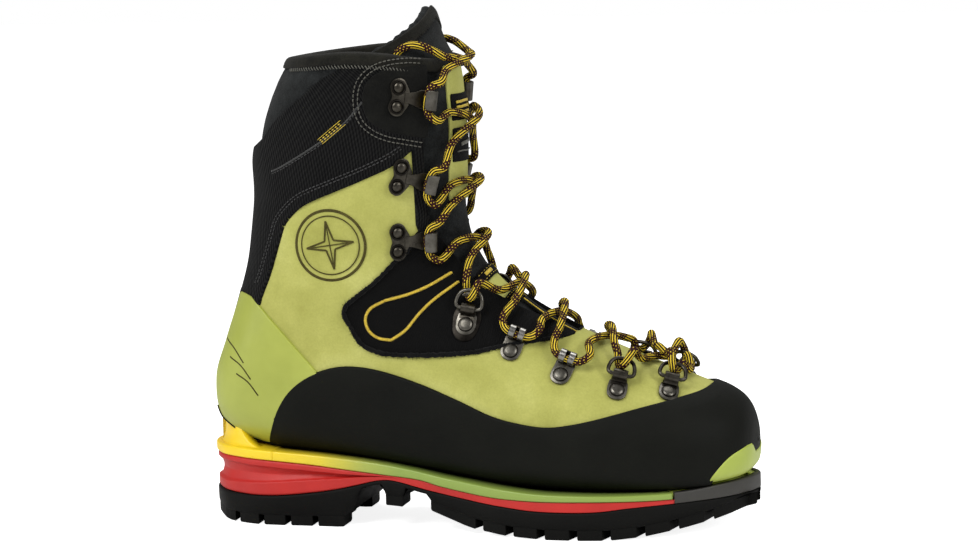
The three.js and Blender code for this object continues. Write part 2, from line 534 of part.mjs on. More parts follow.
const LIFT = 0.45;
const BLADE_LACE = { u: 8.9, n: 4.8 };     // where the lace lies in a hook, in the hook's own frame
const SIDES = [["outer", 1], ["inner", -1]];
const ringFrames = {};
const fittingFrames = {};
for (const [side, sign] of SIDES) {
  for (const hook of HOOKS) {
    const frame = seatFrame(hook.row, hook.angle, hook.tip, sign, hook.name === "hook_upper" ? 1.9 : 0.9);
    fittingFrames[`${hook.name}_${side}`] = frame;
    add(`${hook.name}_${side}`, place(hookBody(), frame), DARK_METAL);
  }
  for (const loop of LOOPS) {
    const frame = seatFrame(loop.row, loop.angle, loop.tip, sign, LIFT);
    fittingFrames[`${loop.name}_${side}`] = frame;
    add(`${loop.name}_${side}`, place(tunnelLoopBody(), frame), DARK_METAL);
  }
  for (const mount of [LOCK, ...RINGS]) {
    const frame = seatFrame(mount.row, mount.angle, mount.tip, sign, LIFT);
    add(`${mount.name}_mount_${side}`, place(ringMountBody(), frame), DARK_METAL);
    const tilt = new THREE.Matrix4().makeRotationY(-THREE.MathUtils.degToRad(mount.tilt));
    const ringFrame = frame.clone().multiply(new THREE.Matrix4().makeTranslation(BAR_REACH, 0, BAR_HEIGHT))
      .multiply(tilt);
    ringFrames[`${mount.name}_${side}`] = ringFrame;
    add(`${mount.name}_bow_${side}`, place(ringBody(), ringFrame), DARK_METAL);
  }
}

// ---------------------------------------------------------------- lace
/** V points up the boot on the outer side and down it on the inner side. */
const upSign = (name) => (name.endsWith("inner") ? -1 : 1);

/** Through a hook or tunnel: in below, out above, as points in the boot's frame. */
function throughFitting(name, u, n) {
  const frame = fittingFrames[name];
  const up = upSign(name);
  return [[u + 5.5, -10.5 * up, n], [u, -6.8 * up, n], [u, 6.8 * up, n], [u + 5.5, 10.5 * up, n]]
    .map((p) => new THREE.Vector3(...p).applyMatrix4(frame));
}
const throughHook = (name) => throughFitting(name, BLADE_LACE.u, BLADE_LACE.n);
const throughLoop = (name) => throughFitting(name, BAR_REACH + 1.5, 3.7);

/** Round the bow of a ring: over it and back under it, or the other way about. */
function throughRing(name, underFirst = false) {
  const clear = RING_WIRE / 2 + LACE_RADIUS + 1;
  const turn = underFirst ? -1 : 1;
  return [[4.5, -4, clear * 0.9], [0.8, -3, clear], [-clear * 0.76, -1.5, clear * 0.74], [-clear, 0, 0],
    [-clear * 0.76, 1.5, -clear * 0.74], [0.8, 3, -clear], [4.5, 4, -clear * 0.9]]
    .map(([u, v, n]) => new THREE.Vector3(RING_LENGTH + u, v * upSign(name), n * turn))
    .map((point) => point.applyMatrix4(ringFrames[name]));
}

const UNDER = 0.2;                    // heights of the lower and upper strand where two cross
const OVER = 5.4;
const EDGE = 3.4;                     // height over the edges of the throat
/** From one side to the other across the throat, between two rows of fittings. */
function crossing([rowBelow, angleBelow], [rowAbove, angleAbove], fromSide, isOver, base = 0) {
  const middle = base + (isOver ? OVER : UNDER);
  const at = (part) => rowBelow + (rowAbove - rowBelow) * part;
  const edge = Math.max(EDGE + base / 2, middle - 1);
  return [[at(0.28), angleBelow * fromSide, edge], [at(0.5), 0, middle], [at(0.72), -angleAbove * fromSide, edge]]
    .map(([r, a, h]) => over(r, a, h));
}

/** A lace stretch: a curve through the points, sampled evenly between one point and the next. */
function laceStretch(name, points) {
  const curve = new THREE.CatmullRomCurve3(points, false, "centripetal");
  curve.getUtoTmapping = (u) => u;
  const shape = new THREE.Shape(circle(0, 0, LACE_RADIUS, 8).map(([x, y]) => new THREE.Vector2(x, y)));
  const geometry = new THREE.ExtrudeGeometry(shape, { steps: points.length - 1, extrudePath: curve });
  const mesh = new THREE.Mesh(geometryOf(solid(geometry)), LACE);
  mesh.name = name;
  group.add(mesh);
}

const reversed = (points) => [...points].reverse();
const flip = (side) => (side === "outer" ? "inner" : "outer");
const signOf = (side) => (side === "outer" ? 1 : -1);
const VAMP_BASE = 3.1;                // below the throat the crossings lie on the closed vamp

/** Half of the lace from the toe bar, starting at the lowest ring of a side, up to the upper loops. */
function footRun(start) {
  const [from, to] = [signOf(start), -signOf(start)];
  const isOver = start === "outer";
  return [
    ...throughRing(`ring_lower_${start}`, true),
    ...crossing([4.3, 4], [5.3, 18], from, isOver, VAMP_BASE),
    ...throughRing(`ring_upper_${flip(start)}`),
    ...crossing([5.3, 18], [6.35, 24], to, !isOver, VAMP_BASE),
    ...throughLoop(`loop_lower_${start}`),
    ...crossing([6.45, 24], [7.4, 24], from, isOver, VAMP_BASE),
    ...throughLoop(`loop_upper_${flip(start)}`),
  ];
}

/** From the upper loops through the locking ring and across the flexing instep. */
function ankleRun(start) {
  const [from, to] = [signOf(start), -signOf(start)];
  const isOver = start === "outer";
  return [...crossing([7.55, 25], [8.6, 25], to, !isOver, 2.6), ...throughRing(`lock_${start}`),
    ...crossing([9.1, 25], [11, 27], from, isOver)];
}

/** Up the three hooks, across above them and down behind the collar's edge on the far side. */
function shaftRun(start) {
  const [from, to] = [signOf(start), -signOf(start)];
  const isOver = start === "outer";
  const end = [[18.85, 40 * from, 1.5], [19.1, 47 * from, -0.6]];
  return [
    ...throughHook(`hook_lower_${flip(start)}`),
    ...crossing([11.5, 28], [13.3, 28], to, !isOver),
    ...throughHook(`hook_middle_${start}`),
    ...crossing([13.7, 28], [16.4, 28], from, isOver),
    ...throughHook(`hook_upper_${flip(start)}`),
    ...crossing([17.1, 28], [18.5, 26], to, !isOver),
    ...end.map(([r, a, h]) => over(r, a, h)),
  ];
}

const bar = [[4.08, 5], [4.08, -5]].map(([r, a]) => over(r, a, 3.5));
laceStretch("lace_foot", [...reversed(footRun("outer")), ...bar, ...footRun("inner")]);
for (const side of ["outer", "inner"]) {
  laceStretch(`lace_ankle_${side}`, ankleRun(side));
  laceStretch(`lace_shaft_${side}`, shaftRun(side));
}

export default group;
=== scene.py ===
"""Looks of a right-foot mountaineering boot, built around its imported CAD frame.

Shapes are worked out in boot millimetres: X from the heel to the toe, Y to the inner side, Z up, with the
ground at 0. place() turns them into the frame's metres.
"""
import math

import bpy
import numpy as np
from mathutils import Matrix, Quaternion, Vector


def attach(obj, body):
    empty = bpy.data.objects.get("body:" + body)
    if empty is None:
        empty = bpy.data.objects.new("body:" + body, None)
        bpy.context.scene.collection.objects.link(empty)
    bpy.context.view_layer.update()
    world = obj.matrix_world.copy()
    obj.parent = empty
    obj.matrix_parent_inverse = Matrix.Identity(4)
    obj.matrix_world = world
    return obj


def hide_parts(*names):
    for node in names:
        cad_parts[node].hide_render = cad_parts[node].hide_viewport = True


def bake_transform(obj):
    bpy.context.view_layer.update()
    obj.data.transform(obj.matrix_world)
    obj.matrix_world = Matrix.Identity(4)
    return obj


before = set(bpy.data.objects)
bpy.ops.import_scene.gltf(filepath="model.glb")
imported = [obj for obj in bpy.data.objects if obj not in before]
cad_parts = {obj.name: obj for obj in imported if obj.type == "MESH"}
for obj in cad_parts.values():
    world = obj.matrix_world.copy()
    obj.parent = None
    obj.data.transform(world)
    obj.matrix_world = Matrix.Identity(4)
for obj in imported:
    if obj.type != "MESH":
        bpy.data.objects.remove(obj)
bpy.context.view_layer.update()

ORIGIN = np.array([156.2, -1.0, 0.0])     # the frame's origin, in boot millimetres
MM = 0.001
SIDES = (("outer", 1), ("inner", -1))
rng = np.random.default_rng(7)


def place(points):
    return (np.asarray(points, float) - ORIGIN) * MM


# ---- camera, floor and lights
scene = bpy.context.scene
AZIMUTH, ELEVATION, ROLL = (math.radians(a) for a in (15, 7.5, -1.5))
DISTANCE = 1.7
LENS = 112
SHIFT = (0.0115, 0.0055)
TARGET = Vector((-0.0002, 0.001, 0.135))
FLOOR_REACH = 6


def linked(name, data):
    obj = bpy.data.objects.new(name, data)
    scene.collection.objects.link(obj)
    return obj


def add_camera():
    data = bpy.data.cameras.new("camera")
    camera = linked("camera", data)
    back = Vector((math.sin(AZIMUTH) * math.cos(ELEVATION), -math.cos(AZIMUTH) * math.cos(ELEVATION),
                   math.sin(ELEVATION)))
    camera.location = TARGET + back * DISTANCE
    camera.rotation_mode = "QUATERNION"
    camera.rotation_quaternion = (-back).to_track_quat("-Z", "Y") @ Quaternion((0, 0, 1), ROLL)
    data.sensor_width = 36
    data.lens = LENS
    data.shift_x, data.shift_y = SHIFT
    scene.camera = camera


def add_light(name, position, size, power):
    data = bpy.data.lights.new(name, "AREA")
    data.shape = "DISK"
    data.size = size
    data.energy = power
    light = linked(name, data)
    light.location = position
    light.rotation_euler = (TARGET - Vector(position)).to_track_quat("-Z", "Y").to_euler()


def add_floor():
    mesh = bpy.data.meshes.new("floor")
    corners = [(-1, -1), (1, -1), (1, 1), (-1, 1)]
    mesh.from_pydata([(x * FLOOR_REACH, y * FLOOR_REACH, 0) for x, y in corners], [], [(0, 1, 2, 3)])
    mesh.materials.append(floor_material())
    linked("floor", mesh)


# ---- the last
# Sections from the toe (row 0) to above the collar: dorsal x, z, plantar x, z, sideways centre, outer and
# inner half-widths, how far down the widest level lies, and how square the section is above and below it.
SECTIONS = np.array([
    [309.5, 47, 309.5, 46.5, 8, 0.5, 0.5, 0.5, 2, 2],
    [307.5, 59, 308, 34, 8, 17, 16, 0.55, 2.2, 2.6],
    [302.5, 69, 303.5, 29, 7.5, 28, 25, 0.6, 2.2, 3],
    [292, 76, 294, 27, 6.5, 37, 32.5, 0.64, 2.2, 3.4],
    [275, 83, 277, 25.5, 5, 45, 39, 0.68, 2.2, 3.6],
    [250, 92.5, 250, 25, 3, 50, 44, 0.7, 2.1, 3.8],
    [224, 104, 218, 25.2, 1, 51.5, 46.5, 0.7, 2.05, 3.8],
    [200, 116.5, 180, 27, 0, 49.5, 45, 0.68, 2, 3.6],
    [180, 131, 135, 33, -0.5, 46, 42, 0.62, 2, 3.4],
    [165.5, 145, 85, 39, 0, 43, 41, 0.56, 2, 3.2],
    [158, 158.5, 35, 43.5, 0, 42, 41, 0.52, 2, 3],
    [154.5, 172, 9, 55.5, 0, 42, 41.5, 0.5, 2, 2.8],
    [153.5, 186, 4, 78, 0, 43, 42.5, 0.5, 2.1, 2.6],
    [153.5, 199, 10.5, 100, 0, 44, 43.5, 0.5, 2.1, 2.5],
    [153.5, 212, 18.5, 125, 0, 45, 45, 0.5, 2.1, 2.3],
    [153.5, 226, 25.5, 150, 0, 46, 46, 0.5, 2.1, 2.2],
    [152.5, 239, 28.5, 176, 0, 47, 47, 0.5, 2.1, 2.1],
    [151.5, 250, 31.5, 204, 0, 47.5, 47.5, 0.5, 2.1, 2.1],
    [149, 261, 40, 234, 0, 47.5, 47.5, 0.5, 2.1, 2.1],
    [145, 270, 52, 260, 0, 47, 47, 0.5, 2.1, 2.1],
    [143, 284, 60, 279, 0, 46.5, 46.5, 0.5, 2.1, 2.1],
    [141, 300, 66, 298, 0, 46, 46, 0.5, 2.1, 2.1],
])
SECTION_ROWS = np.arange(len(SECTIONS))
PADDED_SECTIONS = np.vstack([2 * SECTIONS[0] - SECTIONS[1], SECTIONS, 2 * SECTIONS[-1] - SECTIONS[-2]])


def section(row):
    i = np.clip(np.floor(row).astype(int), 0, SECTION_ROWS[-1] - 1)
    t = (row - i)[..., None]
    a, b, c, d = (PADDED_SECTIONS[i + k] for k in range(4))
    square, cube = 2 * a - 5 * b + 4 * c - d, 3 * b - a - 3 * c + d
    return 0.5 * (2 * b + (c - a) * t + square * t ** 2 + cube * t ** 3)


def on_last(row, angle):
    """A point of the last: the angle is 0 on the top ridge, positive to the outer side, 180 underneath."""
    row, angle = np.broadcast_arrays(np.asarray(row, float), np.asarray(angle, float))
    top_x, top_z, under_x, under_z, middle, outer, inner, level, square_top, square_under = np.moveaxis(
        section(row), -1, 0)
    cos, sin = np.cos(np.radians(angle)), np.sin(np.radians(angle))
    power = 2 / np.where(cos > 0, square_top, square_under)
    reach = np.abs(cos) ** power
    down = np.where(cos > 0, level - level * reach, level + (1 - level) * reach)
    width = np.where(sin >= 0, -outer, inner)
    return np.stack([top_x + (under_x - top_x) * down, middle + width * np.abs(sin) ** power,
                     top_z + (under_z - top_z) * down], -1)


def unit(v):
    return v / np.maximum(np.linalg.norm(v, axis=-1, keepdims=True), 1e-9)


def lengths(line):
    """How far along a line each of its points lies."""
    return np.concatenate([[0], np.cumsum(np.linalg.norm(np.diff(line, axis=0), axis=1))])


def part_way(line, along, at):
    """The points of a line at given distances along it."""
    return np.stack([np.interp(at, along, column) for column in line.T], -1)


def normal_of(row, angle):
    row, angle = np.asarray(row, float), np.asarray(angle, float)
    along = on_last(row + 0.03, angle) - on_last(row - 0.03, angle)
    return unit(np.cross(along, on_last(row, angle + 0.6) - on_last(row, angle - 0.6)))


def over(row, angle, height):
    """A point at a height over the last. Inner layers thin out towards the toe, as in the CAD."""
    row, height = np.asarray(row, float), np.asarray(height, float)
    thin = np.where(height < 0, np.minimum(1, 0.6 + row / 6), 1)
    return on_last(row, angle) + normal_of(row, angle) * (height * thin)[..., None]


def even_angles(count):
    """Angles evenly spaced round the forefoot."""
    fine = np.linspace(0, 180, 1801)
    along = lengths(on_last(6.0, fine))
    half = np.interp(np.linspace(0, along[-1], count // 2 + 1), along, fine)
    return np.concatenate([-half[-2:0:-1], half])


# A fine grid over the last, with the distances round it and up it that the weaves follow.
GRID_ROWS = np.concatenate([np.linspace(0.03, 4, 90), np.linspace(4, 21, 300)[1:]])
GRID_ROW, GRID_ANGLE = np.meshgrid(GRID_ROWS, even_angles(280), indexing="ij")
GRID = on_last(GRID_ROW, GRID_ANGLE)
X, Y, Z = GRID[..., 0], GRID[..., 1], GRID[..., 2]
GRID_NORMAL = normal_of(GRID_ROW, GRID_ANGLE)
GRID_THIN = np.minimum(1, 0.6 + GRID_ROW / 6)
GRID_STEPS = np.linalg.norm(np.diff(GRID, axis=1), axis=2)
AROUND = np.cumsum(np.concatenate([np.zeros((len(GRID_ROWS), 1)), GRID_STEPS], axis=1), axis=1)
ALONG = np.interp(GRID_ROWS, SECTION_ROWS, lengths(on_last(SECTION_ROWS, 70.0)))


def catmull(points, per=8, closed=False):
    """A smooth curve through the points: centripetal, so that it doesn't overshoot."""
    p = np.asarray(points, float)
    if closed:
        p = np.vstack([p[-1], p, p[0], p[1]])
    else:
        p = np.vstack([2 * p[0] - p[1], p, 2 * p[-1] - p[-2]])
    out = []
    for i in range(1, len(p) - 2):
        q = p[i - 1:i + 3]
        steps = np.maximum(np.linalg.norm(np.diff(q, axis=0), axis=1), 1e-6) ** 0.5
        knots = np.concatenate([[0], np.cumsum(steps)])
        t = np.linspace(knots[1], knots[2], per, endpoint=False)[:, None]

        def between(a, b, first, last):
            span = knots[last] - knots[first]
            return (knots[last] - t) / span * a + (t - knots[first]) / span * b

        a, b, c = (between(q[k], q[k + 1], k, k + 1) for k in range(3))
        out.append(between(between(a, b, 0, 2), between(b, c, 1, 3), 1, 2))
    if not closed:
        out.append(p[-2][None])
    return np.vstack(out)


def resample(points, step):
    """Points evenly spaced along a line."""
    points = np.asarray(points, float)
    along = lengths(points)
    return part_way(points, along, np.linspace(0, along[-1], max(int(round(along[-1] / step)), 1) + 1))


def inside(outline, points):
    """Signed distance in the side view: positive inside a closed outline."""
    ends = np.asarray(outline, float)
    x, z = points[..., 0], points[..., 1]
    best = np.full(x.shape, 1e9)
    odd = np.zeros(x.shape, bool)
    for (ax, az), (bx, bz) in zip(ends, np.roll(ends, -1, axis=0)):
        dx, dz = bx - ax, bz - az
        t = np.clip(((x - ax) * dx + (z - az) * dz) / max(dx * dx + dz * dz, 1e-9), 0, 1)
        best = np.minimum(best, np.hypot(x - ax - t * dx, z - az - t * dz))
        if az != bz:
            odd ^= ((az > z) != (bz > z)) & (x < (bx - ax) * (z - az) / (bz - az) + ax)
    return np.where(odd, best, -best)


def grid_inside(outline):
    return inside(outline, GRID[..., [0, 2]])


# ---- outlines in the side view (x, z)
RAND_LINE = catmull([[36, 40], [44, 55], [50, 67], [57, 76.5], [65, 83], [74, 87.5], [85, 90.5], [96, 91],
                     [110, 89], [134, 82], [155, 74], [174, 66], [188, 62.5], [205, 60.5], [222, 62.5],
                     [255, 70], [274, 74], [288, 77.5], [294, 84]])
RAND = np.vstack([RAND_LINE, [[400, 84], [400, 0], [36, 0]]])
BUMPER = np.vstack([catmull([[285, 18], [289, 29.7], [295, 37], [301, 43], [307, 46.5]]),
                    [[330, 47], [330, 18]]])
FLEX = np.vstack([catmull([[131, 166], [124, 154], [118, 149], [108, 139], [98, 131], [91.5, 125.5],
                           [90.5, 121], [94, 114], [98, 107], [105, 101.8], [115, 99.3], [131, 98.8],
                           [147, 99.3], [166, 101], [178, 103.5], [194, 105.5], [210, 107], [230, 112]]),
                  [[230, 180], [131, 180]]])
HEM = [(128, 209), (120, 204), (105, 197), (90, 191), (76, 185.5), (68, 181.5), (61, 175.5), (57, 170.5),
       (54.5, 164), (50.5, 153), (46.5, 142), (43, 134)]
SHAFT_GREEN = np.vstack([catmull([(131, 213), *HEM[1:-1], (40.5, 128)]),
                         [[40.5, 20], [250, 20], [250, 110], [150, 150], [140, 140], [131, 170], [131, 200]]])
THROAT_LINE = catmull([[136, 310], [136, 240], [136, 175], [141, 163], [150, 150], [160, 137.5],
                       [174.5, 128.5], [185, 122.5], [198, 116], [214, 108]])
THROAT = np.vstack([THROAT_LINE, [[216, 140], [216, 310]]])
TONGUE = np.array([[127, 320], [127, 172], [132, 158], [141, 145], [151, 132], [168, 120], [181, 114],
                   [196, 107], [216, 99], [240, 96], [240, 320]])
COLLAR_LINE = catmull([[-20, 252], [40, 259], [52, 261.5], [75, 264], [98, 265.5], [120, 264], [137, 261],
                       [200, 258]])
FABRIC_LINE = catmull([[-20, 190], [20, 203], [42, 215], [53, 227], [70, 240], [83, 250], [95, 256],
                       [109, 259], [125, 259], [200, 257]])
COUNTER_LINE = catmull([[10, 130.5], [34, 129], [38.5, 126], [48.5, 116], [60.5, 102.5], [73.5, 87.8],
                        [90, 70]])
CUFF_TAB = catmull([[140, 219], [128, 220.5], [120, 222.5], [113, 226], [108.5, 231], [107, 240], [109, 248],
                    [116, 254], [128, 256.5], [140, 256]], closed=True)
HEEL_CUP_LINE = catmull([[-20, 64], [6, 61], [18, 53.5], [26, 47.5], [42, 44.8], [60, 41]])


def line_height(line, x):
    """The height of a line that runs towards the toe, at each x."""
    return np.interp(x, line[:, 0], line[:, 1])


SOLE_WIDTHS = [[1, 7, 7], [4, 14.5, 14.5], [12, 25.5, 25], [22, 32, 31.5], [35, 36.5, 35.5], [75, 37, 34],
               [110, 38.5, 32], [150, 44.5, 36], [180, 51.5, 43.5], [205, 54.5, 49.5], [235, 52.5, 52.5],
               [265, 43, 50], [290, 27.5, 38], [303, 14, 25.5], [309, 4, 18], [312, -5, 11]]
WELT_TOP = catmull([[-5, 43.2], [25, 43.2], [62, 41], [86, 39], [106, 37], [126, 34.3], [144, 31.2],
                    [162, 28.8], [180, 26.8], [198, 25.4], [218, 24.9], [250, 24.7], [277, 25.2], [296, 27],
                    [315, 28.6]])
MIDSOLE_TOP = catmull([[-5, 37.7], [30, 37.5], [62, 35.3], [90, 32.3], [109, 30.5], [131, 28.6], [143, 25.8],
                       [171, 22], [198, 21], [232, 21.3], [273, 21.3], [315, 22.8]])
OUTSOLE_TOP = catmull([[-5, 17.5], [38, 16.6], [54, 17.5], [77, 20.5], [93, 24], [105, 27], [113, 27.6],
                       [134, 23.4], [162, 19], [180, 17], [198, 15.5], [232, 15.6], [250, 17.5], [272, 18.8],
                       [315, 20]])
TREAD = np.array([[-5, 5], [3, 2.5], [12, 0.3], [20, 0], [84, 0], [90, 5], [94, 14], [98, 19.5], [108, 21],
                  [110, 13.5], [120, 13], [122, 19], [133, 18.5], [137, 12], [148, 8], [160, 4], [180, 1.2],
                  [205, 0], [238, 0], [256, 1.5], [275, 4.6], [292, 8], [315, 14]])


# ---- node materials
def srgb(r, g, b):
    """A colour given as 0-255 display values, for a shader."""
    return tuple(((c / 255 + 0.055) / 1.055) ** 2.4 if c > 10 else c / 255 / 12.92 for c in (r, g, b))


class Shader:
    """A small helper round one material's node tree. Colours are 0-255 display values."""

    def __init__(self, name, **sockets):
        self.material = bpy.data.materials.new(name)
        self.material.use_nodes = True
        self.tree = self.material.node_tree
        self.surface = self.tree.nodes["Principled BSDF"]
        for socket, value in sockets.items():
            self.surface.inputs[socket.replace("_", " ")].default_value = value

    def finish(self, **sources):
        for socket, source in sources.items():
            self.tree.links.new(source, self.surface.inputs[socket.replace("_", " ")])
        return self.material

    def node(self, kind, inputs, **settings):
        node = self.tree.nodes.new(kind)
        for key, value in settings.items():
            setattr(node, key, value)
        for key, value in inputs.items():
            if isinstance(value, bpy.types.NodeSocket):
                self.tree.links.new(value, node.inputs[key])
            else:
                node.inputs[key].default_value = value
        return node

    def axes(self, attribute=None):
        """The three parts of the object coordinates, or of a mesh attribute."""
        if attribute:
            source = self.node("ShaderNodeAttribute", {}, attribute_name=attribute).outputs["Vector"]
        else:
            source = self.node("ShaderNodeTexCoord", {}).outputs["Object"]
        return self.node("ShaderNodeSeparateXYZ", {0: source}).outputs

    def noise(self, scale, detail=3, rough=0.55):
        where = self.node("ShaderNodeTexCoord", {}).outputs["Object"]
        inputs = {"Vector": where, "Scale": scale, "Detail": detail, "Roughness": rough}
        return self.node("ShaderNodeTexNoise", inputs).outputs["Fac"]

    def math(self, operation, a, b=0.0):
        return self.node("ShaderNodeMath", {0: a, 1: b}, operation=operation).outputs[0]

    def add(self, a, b):
        return self.math("ADD", a, b)

    def times(self, a, b):
        return self.math("MULTIPLY", a, b)

    def ramp(self, fac, *stops):
        node = self.node("ShaderNodeValToRGB", {"Fac": fac})
        elements = node.color_ramp.elements
        while len(elements) < len(stops):
            elements.new(0.5)
        for element, (position, colour) in zip(elements, stops):
            element.position = position
            element.color = (*srgb(*colour), 1)
        return node.outputs["Color"]

    def mix(self, fac, a, b):
        inputs = {0: fac, 6: a, 7: b}
        for index in (6, 7):
            if isinstance(inputs[index], tuple):
                inputs[index] = (*srgb(*inputs[index]), 1)
        return self.node("ShaderNodeMix", inputs, data_type="RGBA").outputs[2]

    def bump(self, height, distance, strength, under=None):
        inputs = {"Height": height, "Distance": distance, "Strength": strength}
        if under:
            inputs["Normal"] = under
        return self.node("ShaderNodeBump", inputs).outputs["Normal"]


def nubuck():
    s = Shader("nubuck", Roughness=0.92, Sheen_Weight=0.35, Sheen_Roughness=0.5, Specular_IOR_Level=0.2,
               Sheen_Tint=(*srgb(225, 225, 150), 1))
    base = s.ramp(s.noise(28, 4, 0.6), (0.3, (166, 166, 84)), (0.52, (184, 184, 100)),
                  (0.75, (202, 202, 120)))
    colour = s.mix(s.times(s.noise(900, 2, 0.6), 0.42), base, (120, 118, 60))
    fine = s.bump(s.noise(1500, 3, 0.7), 0.00025, 0.55)
    return s.finish(Base_Color=colour, Normal=s.bump(s.noise(240, 3, 0.6), 0.0004, 0.5, fine))


def woven(name, pitch, dark, light, slant):
    """Ribbed black cloth: slanting ribs broken into short floats, on the panels' own cloth coordinates."""
    s = Shader(name, Roughness=0.9, Sheen_Weight=0.03, Sheen_Roughness=0.45, Specular_IOR_Level=0.12)
    u, v, _ = s.axes("cloth")
    turn = 2 * math.pi / pitch
    ribs = s.math("SINE", s.add(s.times(u, turn), s.times(v, turn * slant)))
    floats = s.math("SINE", s.add(s.times(v, turn * 0.75), s.times(u, turn * 0.25)))
    weave = s.add(s.add(s.times(ribs, 0.34), s.times(floats, 0.16)), 0.5)
    hair = s.noise(1800, 2, 0.6)
    fac = s.times(weave, s.add(s.times(s.noise(60, 4, 0.6), 0.7), 0.55))
    fac = s.add(fac, s.times(s.math("SUBTRACT", hair, 0.5), 0.35))
    return s.finish(Base_Color=s.ramp(fac, (0.2, dark), (0.85, light)),
                    Normal=s.bump(weave, 0.0005, 0.9, s.bump(hair, 0.00015, 0.4)))


def felt(name, dark, light):
    s = Shader(name, Roughness=0.96, Sheen_Weight=0.05, Sheen_Roughness=0.6, Specular_IOR_Level=0.1)
    fibre = s.noise(1100, 3, 0.7)
    fac = s.add(s.times(s.noise(90, 5, 0.7), 0.6), s.times(fibre, 0.4))
    return s.finish(Base_Color=s.ramp(fac, (0.36, dark), (0.64, light)), Normal=s.bump(fibre, 0.0005, 0.7))


def rubber(name, dark, light, roughness=0.6, grain=0.00012):
    s = Shader(name, Specular_IOR_Level=0.12)
    cloud = s.noise(14, 5, 0.65)
    return s.finish(Base_Color=s.ramp(cloud, (0.3, dark), (0.72, light)),
                    Roughness=s.add(s.times(cloud, 0.22), roughness - 0.11),
                    Normal=s.bump(s.noise(700, 3, 0.6), grain, 0.6))


def moulded(s, colour, roughness=0.42, grain=0.00005):
    """A polymer's scuffs and fine grain under its colour."""
    return s.finish(Base_Color=colour, Roughness=s.add(s.times(s.noise(160, 5, 0.7), 0.25), roughness - 0.12),
                    Normal=s.bump(s.noise(900, 2, 0.5), grain, 0.5))


def polymer(name, low, high, *finish):
    s = Shader(name, Coat_Weight=0.08, Coat_Roughness=0.3)
    return moulded(s, s.ramp(s.noise(22, 4, 0.6), (0.3, low), (0.7, high)), *finish)


def welt_polymer():
    """Yellow at the heel, running into green in front of it."""
    s = Shader("welt_polymer", Coat_Weight=0.08)
    wobble = s.times(s.math("SUBTRACT", s.noise(40, 3), 0.5), 0.012)
    start = (30 - ORIGIN[0]) * MM
    share = s.math("DIVIDE", s.math("SUBTRACT", s.add(s.axes()[0], wobble), start), 0.09)
    return moulded(s, s.ramp(share, (0.0, (244, 208, 26)), (0.45, (222, 200, 50)), (0.75, (162, 172, 76)),
                             (1.0, (138, 160, 72))), 0.44)


def metal(name, dark, light, roughness=0.34):
    s = Shader(name, Metallic=1.0)
    return s.finish(Base_Color=s.ramp(s.noise(220, 4, 0.65), (0.3, dark), (0.72, light)),
                    Roughness=s.add(s.times(s.noise(500, 3), 0.22), roughness - 0.1),
                    Normal=s.bump(s.noise(2400, 2, 0.5), 0.00003, 0.5))


def thread(name, colour, shade):
    s = Shader(name, Roughness=0.6, Sheen_Weight=0.2)
    fac = s.noise(1400, 2, 0.6)
    return s.finish(Base_Color=s.ramp(fac, (0.3, shade), (0.7, colour)), Normal=s.bump(fac, 0.0001, 0.5))


BRAID_YARNS, BRAID_TURN, FLOAT_PITCH = 9, 12, 14.0


def lace_yarn():
    """Round braid: blocks of parallel yellow floats, then maroon with yellow dots. The lace carries where a
    point lies on it: the cosine and sine round it, and the millimetres along it."""
    s = Shader("lace_yarn", Roughness=0.75, Specular_IOR_Level=0.2)
    cos, sin, run = s.axes("yarn")
    turn = s.math("DIVIDE", s.math("ARCTAN2", sin, cos), 2 * math.pi)
    along = s.add(run, s.times(s.math("SUBTRACT", s.noise(900, 2), 0.5), 0.5))
    column = s.add(s.times(turn, BRAID_YARNS), s.math("DIVIDE", along, BRAID_TURN))
    centred = s.math("ABSOLUTE", s.math("SUBTRACT", s.math("FRACT", column), 0.5))
    phase = s.math("FRACT", s.math("DIVIDE", s.add(along, s.times(sin, 2.6)), FLOAT_PITCH))
    floats = s.math("LESS_THAN", phase, 0.52)
    bright = s.math("LESS_THAN", centred, 0.2)
    step = s.add(s.math("DIVIDE", along, 2.1), s.times(s.math("FLOOR", column), 0.5))
    dots = s.times(s.math("LESS_THAN", s.math("FRACT", step), 0.26), bright)
    dots = s.times(dots, s.math("SUBTRACT", 1.0, floats))
    maroon = s.mix(floats, (46, 6, 11), (20, 5, 6))
    colour = s.mix(s.math("MAXIMUM", s.times(floats, bright), s.times(dots, 0.8)), maroon, (222, 192, 54))
    shade = s.times(s.math("GREATER_THAN", centred, 0.38), 0.9)
    ridge = s.math("SUBTRACT", 0.5, s.times(centred, centred))
    return s.finish(Base_Color=s.mix(shade, colour, (12, 8, 8)),
                    Normal=s.bump(ridge, 0.0006, 0.8, s.bump(s.noise(2600, 2, 0.6), 0.0001, 0.6)))


def floor_material():
    """White paper: mostly its own white to the camera, so that only the contact shadow shows."""
    s = Shader("floor_paper", Roughness=0.7, Emission_Color=(1, 1, 1, 1))
    ray = s.node("ShaderNodeLightPath", {}).outputs["Is Camera Ray"]
    return s.finish(Base_Color=s.ramp(s.noise(3, 4), (0.3, [231.115] * 3), (0.7, [236.149] * 3)),
                    Emission_Strength=s.times(ray, 0.86))


